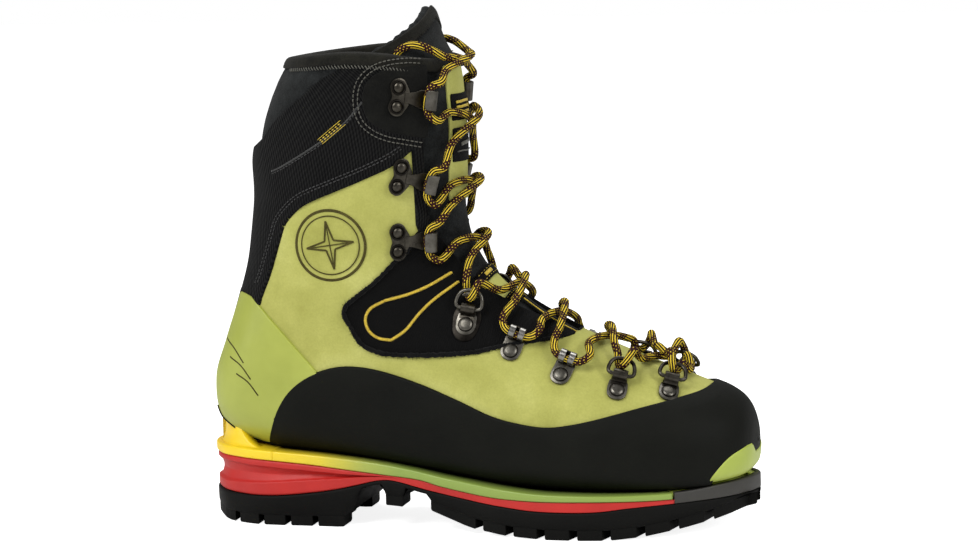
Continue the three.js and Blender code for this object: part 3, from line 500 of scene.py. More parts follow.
NUBUCK = nubuck()
TWILL = woven("ribbed_fabric", 1.75, (2, 2, 3), (27, 27, 26), 0.45)
KNIT = woven("stretch_knit", 1.35, (2, 2, 2), (15, 15, 15), 0.9)
LINING = woven("lining_mesh", 2.2, (5, 5, 6), (24, 24, 25), 0.0)
FELT = felt("collar_felt", (6, 7, 7), (38, 40, 40))
BINDING = felt("binding_suede", (14, 14, 11), (33, 32, 26))
CUFF = felt("cuff_suede", (5, 5, 4), (20, 20, 17))
PILE = felt("pile_border", (2, 2, 3), (18, 18, 18))
RAND_RUBBER = rubber("rand_rubber", (6, 7, 4), (18, 19, 14), 0.6)
TREAD_RUBBER = rubber("tread_rubber", (4, 4, 3), (14, 14, 12), 0.58, 0.0002)
LIME = polymer("lime_polymer", (152, 160, 62), (170, 178, 76))
BUMPER_LIME = polymer("bumper_polymer", (160, 176, 62), (176, 190, 82))
WELT_FINISH = welt_polymer()
GREY = polymer("grey_polymer", (34, 33, 30), (52, 50, 45), 0.5, 0.0001)
RED = polymer("red_foam", (172, 18, 12), (194, 30, 22), 0.55, 0.00012)
GUNMETAL = metal("gunmetal", (48, 45, 40), (84, 80, 72))
BRIGHT = metal("worn_steel", (78, 75, 68), (112, 109, 102))
POLISHED = metal("polished_steel", (112, 110, 105), (164, 162, 157), 0.26)
DARK_STEEL = metal("black_steel", (22, 20, 18), (46, 43, 39), 0.4)
BOARD = rubber("pressed_board", (120, 104, 78), (150, 132, 102), 0.8)
YELLOW_THREAD = thread("yellow_thread", (228, 200, 52), (172, 142, 26))
GREY_THREAD = thread("grey_thread", (96, 94, 82), (48, 47, 40))
DARK_THREAD = thread("dark_thread", (44, 44, 42), (16, 16, 16))
# Dark olive: the pressed emblem's own lines, and painted shade in the heel counter's grooves.
PRESSED_LINES_AND_GROOVE_SHADE = felt("pressed_lines_and_groove_shade", (56, 50, 20), (84, 78, 38))
LACE_YARN = lace_yarn()


def rig(obj, body, replaces=()):
    """Ties a finished piece to the frame: body is a CAD body, or 'both' for what crosses the ankle."""
    if body == "both":
        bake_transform(obj)
    else:
        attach(obj, body)
    if replaces:
        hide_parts(*replaces)
    return obj


def shade(mesh, smooth):
    mesh.polygons.foreach_set("use_smooth", [smooth] * len(mesh.polygons))


def make(name, vertices, faces, material, attributes=None):
    """A smooth mesh object from boot-millimetre vertices. Attributes are per-vertex vectors."""
    mesh = bpy.data.meshes.new(name)
    mesh.from_pydata(place(vertices).tolist(), [], [list(map(int, f)) for f in faces])
    for key, values in (attributes or {}).items():
        layer = mesh.attributes.new(key, "FLOAT_VECTOR", "POINT")
        layer.data.foreach_set("vector", np.asarray(values, np.float32).ravel())
    mesh.materials.append(material)
    mesh.validate()
    mesh.update()
    shade(mesh, True)
    return linked(name, mesh)


def walls(rows, cols, wrap=True, loop=False, caps=True, flip=False):
    """Faces over vertices listed row by row. wrap joins the two ends of each row, loop joins the last row
    to the first, caps closes the two end rows, and flip turns the faces over."""
    faces = []
    for i in range(rows if loop else rows - 1):
        here, after = i * cols, (i + 1) % rows * cols
        faces += [(here + k, here + (k + 1) % cols, after + (k + 1) % cols, after + k)
                  for k in range(cols if wrap else cols - 1)]
    if flip:
        faces = [(f[0], *f[:0:-1]) for f in faces]
    if caps and not loop:
        ends = [tuple(range(cols))[::-1], tuple(range((rows - 1) * cols, rows * cols))]
        faces += [f[::-1] for f in ends] if flip else ends
    return faces


def clip_grid(keep):
    """The grid's faces where keep is positive, cut exactly along keep = 0. Also the new points of the cut,
    each as (from, to, share), and the cut's edges."""
    rows, cols = keep.shape
    flat = keep.ravel()
    faces, extra, borders, cut_points = [], [], [], {}

    def between(i, j):
        key = (min(i, j), max(i, j))
        if key not in cut_points:
            cut_points[key] = rows * cols + len(extra)
            extra.append((i, j, flat[i] / (flat[i] - flat[j])))
        return cut_points[key]

    near = np.maximum.reduce([keep, *(np.roll(keep, step, axis) for step in (1, -1) for axis in (0, 1))])
    for r, c in zip(*np.nonzero(near[:-1] > 0)):
        a, b, d, e = (row * cols + col % cols for row in (r, r + 1) for col in (c, c + 1))
        for triangle in ((a, d, b), (b, d, e)):
            kept = [flat[i] > 0 for i in triangle]
            if all(kept):
                faces.append(triangle)
            elif any(kept):
                only_one = sum(kept) == 1
                k = kept.index(only_one)
                i, j, m = (triangle[(k + turn) % 3] for turn in range(3))
                if only_one:
                    p, q = between(i, j), between(i, m)
                    faces.append((i, p, q))
                    borders.append((p, q))
                else:
                    p, q = between(j, i), between(m, i)
                    faces.append((j, m, q, p))
                    borders.append((q, p))
    return faces, extra, borders


def panel(name, keep, height, thickness, material, radius=0.6, under=False, shift=0.0, closed=False):
    """A sheet of the last's skin where keep is positive, with rounded edges that go down by its thickness.
    The height over the last is a number or a grid, and shift moves the points as a grid of vectors.
    under=True makes the sheet face inwards, and closed=True closes it underneath, as a pad."""
    faces, extra, borders = clip_grid(keep)
    height = np.broadcast_to(np.asarray(height, float), keep.shape)
    thin = np.where(height < 0, GRID_THIN, 1)
    surface = (GRID + GRID_NORMAL * (height * thin)[..., None] + shift).reshape(-1, 3)
    normals = GRID_NORMAL.reshape(-1, 3)
    cloth = np.stack(np.broadcast_arrays(AROUND, ALONG[:, None], 0.0), -1).reshape(-1, 3)
    i, j, t = (np.array(x) for x in zip(*extra))
    t = t[:, None]
    surface = np.vstack([surface, surface[i] * (1 - t) + surface[j] * t])
    normals = np.vstack([normals, unit(normals[i] * (1 - t) + normals[j] * t)])
    cloth = np.vstack([cloth, cloth[i] * (1 - t) + cloth[j] * t])
    used = np.unique(np.concatenate([np.array(f) for f in faces]))
    renumber = np.full(len(surface), -1)
    renumber[used] = np.arange(len(used))
    vertices, normals, cloth = surface[used], normals[used], cloth[used]
    faces, borders = ([tuple(renumber[list(corners)].tolist()) for corners in group]
                      for group in (faces, borders))
    top_count, top_faces = len(vertices), list(faces)
    outward = np.zeros_like(vertices)
    for p, q in borders:
        side = np.cross(vertices[q] - vertices[p], normals[p])
        outward[p] += side
        outward[q] += side
    rim = np.array(sorted({k for edge in borders for k in edge}))
    order = {k: n for n, k in enumerate(rim.tolist())}
    outward = unit(outward)[rim]
    down = normals[rim] * (-1 if under else 1)
    previous = rim
    steps = [(radius * math.sin(a), radius * (1 - math.cos(a))) for a in np.radians([25, 50, 70, 90])]
    for out, drop in [*steps, (radius, thickness)]:
        current = len(vertices) + np.arange(len(rim))
        vertices = np.vstack([vertices, vertices[rim] + outward * out - down * drop])
        cloth = np.vstack([cloth, cloth[rim]])
        for p, q in borders:
            a, b = order[p], order[q]
            faces.append((previous[b], previous[a], current[a], current[b]))
        previous = current
    if closed:
        start = len(vertices)
        vertices = np.vstack([vertices, vertices[:top_count] - normals * thickness])
        cloth = np.vstack([cloth, cloth[:top_count]])
        faces += [tuple(start + k for k in f)[::-1] for f in top_faces]
        faces += [(previous[order[q]], previous[order[p]], start + p, start + q) for p, q in borders]
    if under:
        faces = [f[::-1] for f in faces]
    return make(name, vertices, faces, material, {"cloth": cloth})


def on_side(points, side):
    """The rows and angles of side-view points (x, z) on the outer (1) or inner (-1) side."""
    points = np.asarray(points, float)
    half = (GRID_ANGLE * side > 3) & (GRID_ANGLE * side < 150)
    where = np.nonzero(half)
    flat = GRID[where][:, [0, 2]]
    row = np.empty(len(points))
    angle = np.empty(len(points))
    for n, p in enumerate(points):
        k = np.argmin(((flat - p) ** 2).sum(1))
        row[n], angle[n] = GRID_ROW[where][k], GRID_ANGLE[where][k]
    for _ in range(3):
        here = on_last(row, angle)[:, [0, 2]]
        by_row = (on_last(row + 0.02, angle)[:, [0, 2]] - here) / 0.02
        by_angle = (on_last(row, angle + 0.5)[:, [0, 2]] - here) / 0.5
        miss = points - here
        det = by_row[:, 0] * by_angle[:, 1] - by_row[:, 1] * by_angle[:, 0]
        det = np.where(np.abs(det) < 1e-3, 1e9, det)
        row = row + np.clip((miss[:, 0] * by_angle[:, 1] - miss[:, 1] * by_angle[:, 0]) / det, -0.3, 0.3)
        angle = angle + np.clip((by_row[:, 0] * miss[:, 1] - by_row[:, 1] * miss[:, 0]) / det, -4, 4)
    return row, angle


def lifted(points, side, height):
    """Side-view points as boot points at a height over the last, with their normals."""
    row, angle = on_side(points, side)
    return over(row, angle, height), normal_of(row, angle)


class Heap:
    """Many small parts gathered into one mesh."""

    def __init__(self):
        self.vertices, self.faces, self.count = [], [], 0

    def add(self, vertices, faces):
        self.vertices.append(np.asarray(vertices, float))
        self.faces.extend([tuple(i + self.count for i in f) for f in faces])
        self.count += len(vertices)

    def finish(self, name, material, attributes=None):
        return make(name, np.vstack(self.vertices), self.faces, material, attributes)


def tube(path, normals, wide, high, sides=8, closed=False):
    """A rounded cord along a path: its width lies across the normals, its height along them."""
    ahead = np.roll(path, -1, 0) - np.roll(path, 1, 0)
    if not closed:
        ahead[0], ahead[-1] = path[1] - path[0], path[-1] - path[-2]
    ahead = unit(ahead)
    across = unit(np.cross(ahead, normals))
    up = np.cross(across, ahead)
    wide, high = (np.broadcast_to(size, len(path))[:, None] for size in (wide, high))
    turns = [2 * math.pi * n / sides for n in range(sides)]
    rings = [path + across * (wide * math.cos(a)) + up * (high * math.sin(a)) for a in turns]
    return np.stack(rings, 1).reshape(-1, 3), walls(len(path), sides, loop=closed)


def stitches(heap, line, normals, pitch=2.6, length=1.9, radius=0.32, lean=0.0):
    """A row of stitches along a line of boot points."""
    along = lengths(line)
    t = np.linspace(-1, 1, 5)[:, None]
    size = radius * np.sqrt(np.clip(1 - (t[:, 0] * 0.93) ** 4, 0.05, 1))
    for at in np.arange(pitch / 2, along[-1] - pitch / 2, pitch):
        centre = part_way(line, along, at)
        normal = unit(part_way(normals, along, at))
        ahead = unit(part_way(line, along, at + 0.4) - centre)
        ahead = unit(ahead + np.cross(ahead, normal) * lean)
        path = centre + ahead * t * length / 2 - normal * (t ** 2) * radius * 1.1
        heap.add(*tube(path, normal, size, size, 6))


def bake(piece):
    """Applies a piece's modifiers to its mesh."""
    graph = bpy.context.evaluated_depsgraph_get()
    mesh = bpy.data.meshes.new_from_object(piece.evaluated_get(graph), depsgraph=graph)
    piece.modifiers.clear()
    piece.data = mesh


CLOTH = {"quality": 4, "mass": 0.2, "tension_stiffness": 25, "bending_stiffness": 2, "use_pressure": True}
CLOTH_FRAMES = 20


def inflate(piece, voxel, cap, pressure):
    """Padding: the closed form is remeshed, swelled as cloth under pressure, and smoothed once."""
    remesh = piece.modifiers.new("remesh", "REMESH")
    remesh.mode = "VOXEL"
    remesh.voxel_size = voxel
    bake(piece)
    start = np.array([v.co for v in piece.data.vertices])
    cloth = piece.modifiers.new("cloth", "CLOTH").settings
    for key, value in CLOTH.items():
        setattr(cloth, key, value)
    cloth.uniform_pressure_force = pressure
    cloth.effector_weights.gravity = 0
    for step in range(1, CLOTH_FRAMES + 1):
        scene.frame_set(step)
    graph = bpy.context.evaluated_depsgraph_get()
    move = np.array([v.co for v in piece.evaluated_get(graph).data.vertices]) - start
    length = np.linalg.norm(move, axis=1, keepdims=True)
    move *= np.minimum(1, cap / np.maximum(length, 1e-9))
    piece.modifiers.clear()
    piece.data.vertices.foreach_set("co", (start + move).astype(np.float32).ravel())
    piece.modifiers.new("smooth", "SUBSURF").levels = 1
    bake(piece)
    shade(piece.data, True)
    scene.frame_set(1)
    return piece


# ---- scene
LIGHTS = (("key", (-0.5, -1.3, 1.35), 0.9, 20), ("front", (1.5, -0.7, 0.9), 0.8, 12),
          ("fill", (-1.4, -0.9, 0.5), 1.0, 5), ("top", (0.1, 0.5, 1.6), 1.0, 10))

add_camera()
for light in LIGHTS:
    add_light(*light)
add_floor()
world = bpy.data.worlds.new("studio")
world.use_nodes = True
background = world.node_tree.nodes["Background"]
background.inputs["Color"].default_value = (1, 1, 1, 1)
ray = world.node_tree.nodes.new("ShaderNodeLightPath")
seen = world.node_tree.nodes.new("ShaderNodeMapRange")
seen.inputs["To Min"].default_value = 0.3      # how strongly the studio lights the boot
seen.inputs["To Max"].default_value = 1.0      # how bright it looks behind it
world.node_tree.links.new(ray.outputs["Is Camera Ray"], seen.inputs["Value"])
world.node_tree.links.new(seen.outputs["Result"], background.inputs["Strength"])
scene.world = world
scene.view_settings.view_transform = "Standard"


# ---- sole unit
def sole_outline():
    """The sole's edge from above, closed, once round from the heel along the outer side."""
    outer = [[x, -a] for x, a, _ in SOLE_WIDTHS]
    inner = [[x, b] for x, _, b in SOLE_WIDTHS][::-1]
    points = catmull([[0, 0], *outer, [312.5, 8], *inner], 14, closed=True)
    return resample(np.vstack([points, points[:1]]), 1.3)[:-1]


SOLE = sole_outline()
SOLE_AHEAD = unit(np.roll(SOLE, -1, 0) - np.roll(SOLE, 1, 0))
SOLE_OUT = np.stack([SOLE_AHEAD[:, 1], -SOLE_AHEAD[:, 0]], -1)
HEEL_END, TOE_END = -5, 320               # x just past the boot's two ends


def band(name, low, high, first, last, profile, material, depth=14):
    """A band of the sole's edge between two heights, which are functions of x. The profile's points are
    (share of the height, how far out), from the bottom up. Only x from first to last is kept."""
    count = len(SOLE)
    keep = (SOLE[:, 0] >= first) & (SOLE[:, 0] <= last)
    order = (int(np.argmin(keep)) + np.arange(count)) % count
    heap = Heap()
    for run in np.split(order, np.nonzero(np.diff(keep[order]))[0] + 1):
        if not keep[run[0]]:
            continue
        edge, out = SOLE[run], SOLE_OUT[run]
        z0, z1 = low(edge[:, 0]), high(edge[:, 0])
        rings = []
        for share, outward in [(0, -depth), *profile, (1, -depth)]:
            reach = np.minimum(np.abs(edge[:, 1]) + 2, np.abs(outward)) * np.sign(outward)
            rings.append(np.column_stack([edge + out * reach[:, None], z0 + (z1 - z0) * share]))
        faces = walls(len(run), len(rings), loop=len(run) == count, flip=True)
        heap.add(np.stack(rings, 1).reshape(-1, 3), faces)
    return heap.finish(name, material)


def rounded(radius, out=0.0, height=5.0):
    """A profile with rounded corners, for a band of about that height."""
    corner = [(radius * (1 - math.cos(a)) / height, out - radius * (1 - math.sin(a)))
              for a in np.radians([0, 30, 60, 90])]
    return corner + [(1 - share, reach) for share, reach in corner[::-1]]


def top_of(line, lift=0.0):
    """A height for a band: a line's, lifted a little."""
    return lambda x: line_height(line, x) + lift


WELT_HEEL, WELT_TOE = 44, 273
WELT_SPAN = (top_of(MIDSOLE_TOP, 0.15), top_of(WELT_TOP))
rig(band("welt_band", *WELT_SPAN, WELT_HEEL - 1, WELT_TOE, rounded(0.9, 0.2), WELT_FINISH), "foot",
    ["welt"])
rig(band("heel_ledge", *WELT_SPAN, HEEL_END, WELT_HEEL + 1, rounded(1.0, 0.35), WELT_FINISH, 30), "foot")
rig(band("toe_insert_band", top_of(OUTSOLE_TOP, 0.2), top_of(WELT_TOP, 0.3), WELT_TOE + 0.2, TOE_END,
         rounded(0.8, 0.3, 8), GREY, 3), "foot", ["toe_crampon_insert"])
rig(band("toe_ledge", top_of(MIDSOLE_TOP, 0.65), top_of(WELT_TOP, -0.2), WELT_TOE - 8, TOE_END,
         [(0, -2.6), (1, -2.6)], BUMPER_LIME, 16), "foot")


GROOVE_END = 121


def midsole():
    """Foam with the long groove round the heel, which narrows and ends under the arch."""
    low, high = top_of(OUTSOLE_TOP, 0.1), top_of(MIDSOLE_TOP)
    ends = rounded(1.2, -0.5, 14)
    wall = [(share, -0.5) for share in np.linspace(0.12, 0.9, 34)]
    piece = band("midsole_foam", low, high, HEEL_END, 296, ends[:4] + wall + ends[4:], RED)
    co = np.array([v.co for v in piece.data.vertices]) / MM + ORIGIN
    x = co[:, 0]
    share = (co[:, 2] - low(x)) / np.maximum(high(x) - low(x), 1)
    fade = np.clip((GROOVE_END - x) / 105, 0, 1)
    middle = 0.56 + 0.1 * np.clip(x / 110, 0, 1)
    off = np.clip(1 - np.abs(share - middle) / (0.27 * fade ** 0.8 + 1e-3), 0, 1)
    depth = np.minimum(fade * 3, 1) * (1.3 * np.clip(off * 9, 0, 1) + 2.0 * off ** 0.8)
    edge, out = SOLE[::3], SOLE_OUT[::3]
    nearest = np.argmin(((co[:, None, :2] - edge) ** 2).sum(-1), 1)
    distance = ((co[:, :2] - edge[nearest]) * out[nearest]).sum(1)
    co[:, :2] -= out[nearest] * np.where(distance > -3, depth, 0)[:, None]
    piece.data.vertices.foreach_set("co", place(co).astype(np.float32).ravel())
    return piece


rig(midsole(), "foot", ["midsole"])


def cup_top(x):
    """The rim of the cup's wall: highest at the back, running out into the ledge along the sides."""
    rise = line_height(HEEL_CUP_LINE, x) + 0.6 - line_height(WELT_TOP, x)
    return line_height(WELT_TOP, x) - 0.6 + (rise + 0.6) * np.clip((34 - x) / 16, 0, 1)


CUP_PROFILE = [(0, -2.2), (0.1, -3.9), (0.25, -4.9), (0.5, -5.5), (0.9, -5.6), (1, -6.2)]
cup_keep = np.minimum.reduce([line_height(HEEL_CUP_LINE, X) - Z, 47 - X, Z - 37])
rig(panel("heel_cup", cup_keep, 1.4, 2.4, WELT_FINISH, 0.8), "foot", ["heel_crampon_ledge"])
rig(band("heel_cup_wall", top_of(WELT_TOP, -1), cup_top, HEEL_END, 38, CUP_PROFILE, WELT_FINISH, 11), "foot")


def edge_at(x, side):
    """The sole edge's y at x on a side."""
    half = SOLE[(SOLE[:, 1] < 0) if side > 0 else (SOLE[:, 1] >= 0)]
    order = np.argsort(half[:, 0])
    return np.interp(x, half[order, 0], half[order, 1])


def tread_z(x):
    return line_height(TREAD, x)


LUG_LEVELS = ((6.5, 0.0), (1.1, 0.0), (0.35, 0.35), (0.05, 0.9))     # height over the tread, inset
CENTRE_LUG = np.array([[-5.4, -1], [-2, -5], [5.4, -1], [5.4, 8], [-2, 12], [-5.4, 8]])
HEEL_SLOTS = [20, 36, 52, 68]
FRONT_SLOTS = [166, 184, 202, 220, 238, 256, 273, 290]


def lug(heap, corners):
    """One tread lug: a prism over a convex outline of (x, y), chamfered at the ground."""
    inward = unit(corners.mean(0) - corners)
    rings = []
    for lift, inset in LUG_LEVELS:
        ring = corners + inward * inset
        rings.append(np.column_stack([ring, tread_z(ring[:, 0]) + lift]))
    heap.add(np.vstack(rings), walls(len(LUG_LEVELS), len(corners), flip=True))


def lug_row(heap, first, last, slots, gap, side, reach, lean=0):
    """Lugs along one side between the slots, from the sole's edge towards the middle."""
    bounds = [first, *slots, last]
    for a, b in zip(bounds[:-1], bounds[1:]):
        xs = np.linspace(a + gap / 2 * (a != first), b - gap / 2 * (b != last), 5)
        y = edge_at(xs, side) + 0.6 * side
        width = np.minimum(reach, np.abs(y) - 5)
        inner = np.column_stack([xs + lean, y + width * side])[::-1]
        lug(heap, np.vstack([np.column_stack([xs, y]), inner])[::-side])


def outsole():
    top = top_of(OUTSOLE_TOP)
    slab = band("outsole_slab", lambda x: np.minimum(tread_z(x) + 5.5, top(x) - 2.2), top, HEEL_END, TOE_END,
                [(0, -1.6), (0.05, -0.6), (0.12, 0.1), (0.5, 0.2), (0.9, 0.2), (0.97, 0.0), (1, -0.4)],
                TREAD_RUBBER, 30)
    heap = Heap()
    for _, side in SIDES:
        lug_row(heap, 3, 85, HEEL_SLOTS, 3.4, side, 15)
        lug_row(heap, 110, 120, [], 3, side, 16)
        lug_row(heap, 137, 309, FRONT_SLOTS, 4.6, side, 17, 4)
    for x in [*range(28, 80, 15), *range(160, 286, 15)]:
        lug(heap, CENTRE_LUG + [x, 0])
    lugs = heap.finish("outsole_lugs", TREAD_RUBBER)
    shade(lugs.data, False)
    xs = np.linspace(3, 309, 90)[:, None]
    y0, y1 = edge_at(xs, 1) + 2, edge_at(xs, -1) - 2
    z = np.minimum(tread_z(xs) + 5.4, top(xs) - 2.3)
    web = np.stack(np.broadcast_arrays(xs, y0 + (y1 - y0) * np.arange(13) / 12, z), -1)
    faces = walls(90, 13, wrap=False, caps=False)
    rig(make("outsole_web", web.reshape(-1, 3), faces, TREAD_RUBBER), "foot")
    rig(lugs, "foot")
    rig(slab, "foot", ["outsole"])


outsole()


# ---- upper panels
# Each keep grid is positive where its panel is: roughly the millimetres from the panel's edge.
ABOVE_SOLE = Z - line_height(WELT_TOP, X) + 0.6
in_throat = grid_inside(THROAT)
in_green = grid_inside(SHAFT_GREEN)
in_flex = grid_inside(FLEX)
in_rand = grid_inside(RAND)
in_tongue = grid_inside(TONGUE)
below_collar = line_height(COLLAR_LINE, X) - Z
fabric_top = line_height(FABRIC_LINE, X) - Z

LEATHER_TOP_BEHIND = 135                  # behind the ankle the leather ends under the fabric
quarter_keep = np.minimum.reduce([
    np.maximum(in_green + 3, 128 - Z), -(in_throat + 0.4), -(in_flex - 3), -(in_rand - 5), ABOVE_SOLE])
quarter_keep = np.where((X < 34) & (Z > 60), np.minimum(quarter_keep, LEATHER_TOP_BEHIND - Z), quarter_keep)
quarter_height = 0.12 * np.sin(X * 0.09 + Z * 0.05) + 0.1 * np.sin(Z * 0.17 - X * 0.03)
rig(panel("quarter_nubuck", quarter_keep, quarter_height, 2.4, NUBUCK, 0.8), "both",
    ["foot_leather", "shaft_leather_outer", "shaft_leather_inner"])

fabric_keep = np.minimum.reduce([
    -in_green, -(in_throat + 0.2), fabric_top, np.maximum(2 - in_flex, Z - 163), Z - 124])
ripple = 0.25 * np.sin(Z * 0.12 + X * 0.06) * np.clip((Z - 130) / 30, 0, 1)
hem = 0.5 * np.clip(5.5 + in_green, 0, 1) * np.clip((138 - X) / 4, 0, 1)
top_roll = 2.2 * np.exp(-(fabric_top / 13) ** 2) * np.clip((66 - X) / 30, 0, 1)
rig(panel("shaft_fabric_panel", fabric_keep, 0.9 + ripple + hem + top_roll, 3.2, TWILL, 1.0), "both",
    ["shaft_fabric", "achilles_flex_panel"])

flex_keep = np.minimum.reduce([in_flex, -(in_throat + 0.3), 166 - Z])
FLEX_HEIGHT = 0.7
rig(panel("ankle_flex_knit", flex_keep, FLEX_HEIGHT, 2.8, KNIT, 0.6), "both",
    ["ankle_flex_panel_outer", "ankle_flex_panel_inner"])

# The lime wings meet low at the front, under the rubber.
VALLEY = 41 + np.where(Y < 8, 0.9, 0.2) * np.maximum(np.abs(Y - 8) - 8, 0) - Z
bumper_keep = np.minimum.reduce([grid_inside(BUMPER), ABOVE_SOLE + 1, VALLEY])
rand_keep = np.minimum.reduce([in_rand, ABOVE_SOLE, -(bumper_keep - 1)])
rand_height = 1.9 + 0.5 * np.clip(in_rand / 6, 0, 1)
rig(panel("rubber_rand_skin", rand_keep, rand_height, 3.0, RAND_RUBBER, 1.1), "foot",
    ["rubber_rand"])
bumper_height = 2.9 - 4.6 * np.clip((8 - ABOVE_SOLE) / 8, 0, 1) ** 1.5
rig(panel("toe_bumper_wing", bumper_keep, bumper_height, 3.0, BUMPER_LIME, 0.9), "foot",
    ["toe_bumper"])

BACK_HALF = 19 + np.clip((Z - 60) / 70, 0, 1) * 4
COUNTER_AREA = np.vstack([COUNTER_LINE, [[90, 20], [-20, 20], [-20, 129]]])
above_cup = np.where(X < 47, Z - line_height(HEEL_CUP_LINE, X) - 0.3, ABOVE_SOLE)
counter_area = np.minimum.reduce([grid_inside(COUNTER_AREA), -(in_rand + 0.2), ABOVE_SOLE, above_cup])
for side, sign in SIDES:
    keep = np.minimum(counter_area, -sign * Y - BACK_HALF)
    rig(panel(f"heel_counter_shell_{side}", keep, 1.7, 2.2, LIME, 0.7), "foot",
        [f"heel_counter_{side}"])
strip_keep = np.minimum.reduce([BACK_HALF + 2.5 - np.abs(Y), 131 - Z, ABOVE_SOLE, above_cup, 60 - X])
rig(panel("heel_strip_rubber", strip_keep, 1.1, 1.6, RAND_RUBBER, 0.5), "foot",
    ["heel_back_strip"])

for side, sign in SIDES:
    keep = np.minimum.reduce([grid_inside(CUFF_TAB), -sign * Y, 137.5 - X])
    puff = 1.5 + 0.4 * np.clip(grid_inside(CUFF_TAB) / 3, 0, 1)
    rig(panel(f"cuff_tab_suede_{side}", keep, puff, 1.6, CUFF, 0.8), "shaft",
        [f"cuff_tab_{side}"])


# ---- collar, lining and tongue
def collar_outside():
    keep = np.minimum.reduce([below_collar - 3, -(fabric_top - 6), -(in_throat + 0.2)])
    puff = -0.9 + 1.4 * np.clip(-fabric_top / 10, 0, 1) * np.clip(below_collar / 10, 0.3, 1)
    pad = panel("collar_felt_pad", keep, puff, 7.5, FELT, 1.2, closed=True)
    return inflate(pad, 0.004, 0.0016, 4.0)


def inside_skin():
    """The lining that the foot feels: it faces inwards, thick at the collar and thin in the foot."""
    depth = -5.2 - 4.1 * np.clip((Z - 118) / 40, 0, 1)
    keep = np.minimum.reduce([below_collar - 2, -(in_tongue + 0.5), GRID_ROW * 8 - 5])
    return panel("boot_lining", keep, depth, 0.4, LINING, 0.2, under=True)


ROLL_PROFILE = np.array([(-7.2, -0.2), (-7.0, 0.9), (-6.0, 1.35), (-3.5, 1.5), (-1.6, 1.2), (-0.5, 0.4),
                         (0.1, -1.0), (0.4, -2.6), (0.45, -4.5), (0.35, -6.4), (-0.2, -8.2), (-1.4, -9.4),
                         (-3.5, -10.0), (-8.0, -10.0), (-9.0, -9.2)])     # up from the edge, out of the last


def collar_roll():
    """The binding that rolls over the collar's edge, from the outside down to the inside."""
    angles = np.concatenate([np.linspace(27, 180, 110), np.linspace(-180, -27, 110)[1:]])
    rows = np.linspace(15.5, 20.5, 500)
    rings = []
    for angle in angles:
        line = on_last(rows, angle)
        along = lengths(line)
        edge = np.interp(0, line[:, 2] - line_height(COLLAR_LINE, line[:, 0]), along)
        row = np.interp(edge + ROLL_PROFILE[:, 0], along, rows)
        normal = normal_of(row, angle) * [1, 1, 0.2]
        rings.append(on_last(row, angle) + unit(normal) * ROLL_PROFILE[:, 1:])
    faces = walls(len(rings), len(ROLL_PROFILE), wrap=False)
    return make("collar_binding_roll", np.vstack(rings), faces, BINDING)


rig(collar_outside(), "shaft", ["collar_lining"])
rig(inside_skin(), "both", ["foot_lining"])
rig(collar_roll(), "shaft", ["collar_binding"])


# The tongue's padded top rises to a peak over the shin and leans back into the boot.
TONGUE_HALF_ANGLE = 82
TONGUE_PEAK = 289
SIDEWAYS = np.abs(GRID_ANGLE) / TONGUE_HALF_ANGLE
LEAN_SHARE = np.clip((Z - 257) / 31, 0, 1) ** 1.15
LEAN = np.stack([-5 * LEAN_SHARE * (1 - 0.4 * SIDEWAYS ** 2), -0.2 * Y * LEAN_SHARE, 0 * Z], -1)
tongue_top = TONGUE_PEAK - 27 * np.clip(SIDEWAYS, 0, 1) ** 1.1 - Z
tongue_body = np.minimum(in_tongue, 260 - Z)
tongue_head = np.minimum.reduce([tongue_top, Z - 255, (TONGUE_HALF_ANGLE - np.abs(GRID_ANGLE)) * 0.8])
tongue_keep = np.minimum.reduce([np.maximum(tongue_body, tongue_head), 236 - X,
                                 TONGUE_HALF_ANGLE - np.abs(GRID_ANGLE)])


def tongue_pad():
    """A closed pad: the outer skin crowned, its edge rolled under to the inner skin."""
    crown = -5.2 + 1.4 * np.clip(tongue_keep / 9, 0, 1) ** 0.7
    pad = panel("tongue_pad", tongue_keep, crown, 4.0, FELT, 1.6, shift=LEAN, closed=True)
    return inflate(pad, 0.003, 0.0009, 3.0)


rig(tongue_pad(), "both", ["tongue_instep", "tongue_upper"])
rig(panel("tongue_back", tongue_keep - 1, -9.0, 0.3, LINING, 0.3, True, LEAN), "both")
edge_keep = np.minimum.reduce([tongue_top - 0.6, 6.2 - tongue_top, Z - 259, 80 - np.abs(GRID_ANGLE)])
rig(panel("tongue_edge_binding", edge_keep, -3.2, 1.4, BINDING, 0.8, shift=LEAN), "shaft")

cover_keep = np.minimum.reduce([17 - np.abs(Y), Z - 182, 256 - Z, in_tongue, 60 - np.abs(GRID_ANGLE)])
rig(panel("tongue_cover_nubuck", cover_keep, -2.6, 1.4, NUBUCK, 0.6), "shaft", ["tongue_cover"])
for name, low, high in (("upper", 226, 240), ("lower", 203, 221)):
    keep = np.minimum.reduce([15.5 - np.abs(Y), Z - low, high - Z, 62 - np.abs(GRID_ANGLE), X - 120])
    rig(panel(f"tongue_woven_label_{name}", keep, -1.9, 0.7, KNIT, 0.4), "shaft",
        [f"tongue_label_{name}"])


# ---- lacing hardware
BAR_REACH = 8.5                           # from a rivet to the bar that its ring turns on
BAR_HEIGHT = 3.6
RING_LENGTH = 10
RING_HALF_WIDTH = 7
RING_WIRE = 2.2
LACE_RADIUS = 2.2
LOOP_CENTRE = BAR_REACH + 1.5
FITTING_LIFT = 0.45                       # loops and mounts over the last
METALS = [GUNMETAL, BRIGHT, DARK_STEEL, POLISHED]
PLAIN, SHINY, BLACKENED, BARE = range(4)

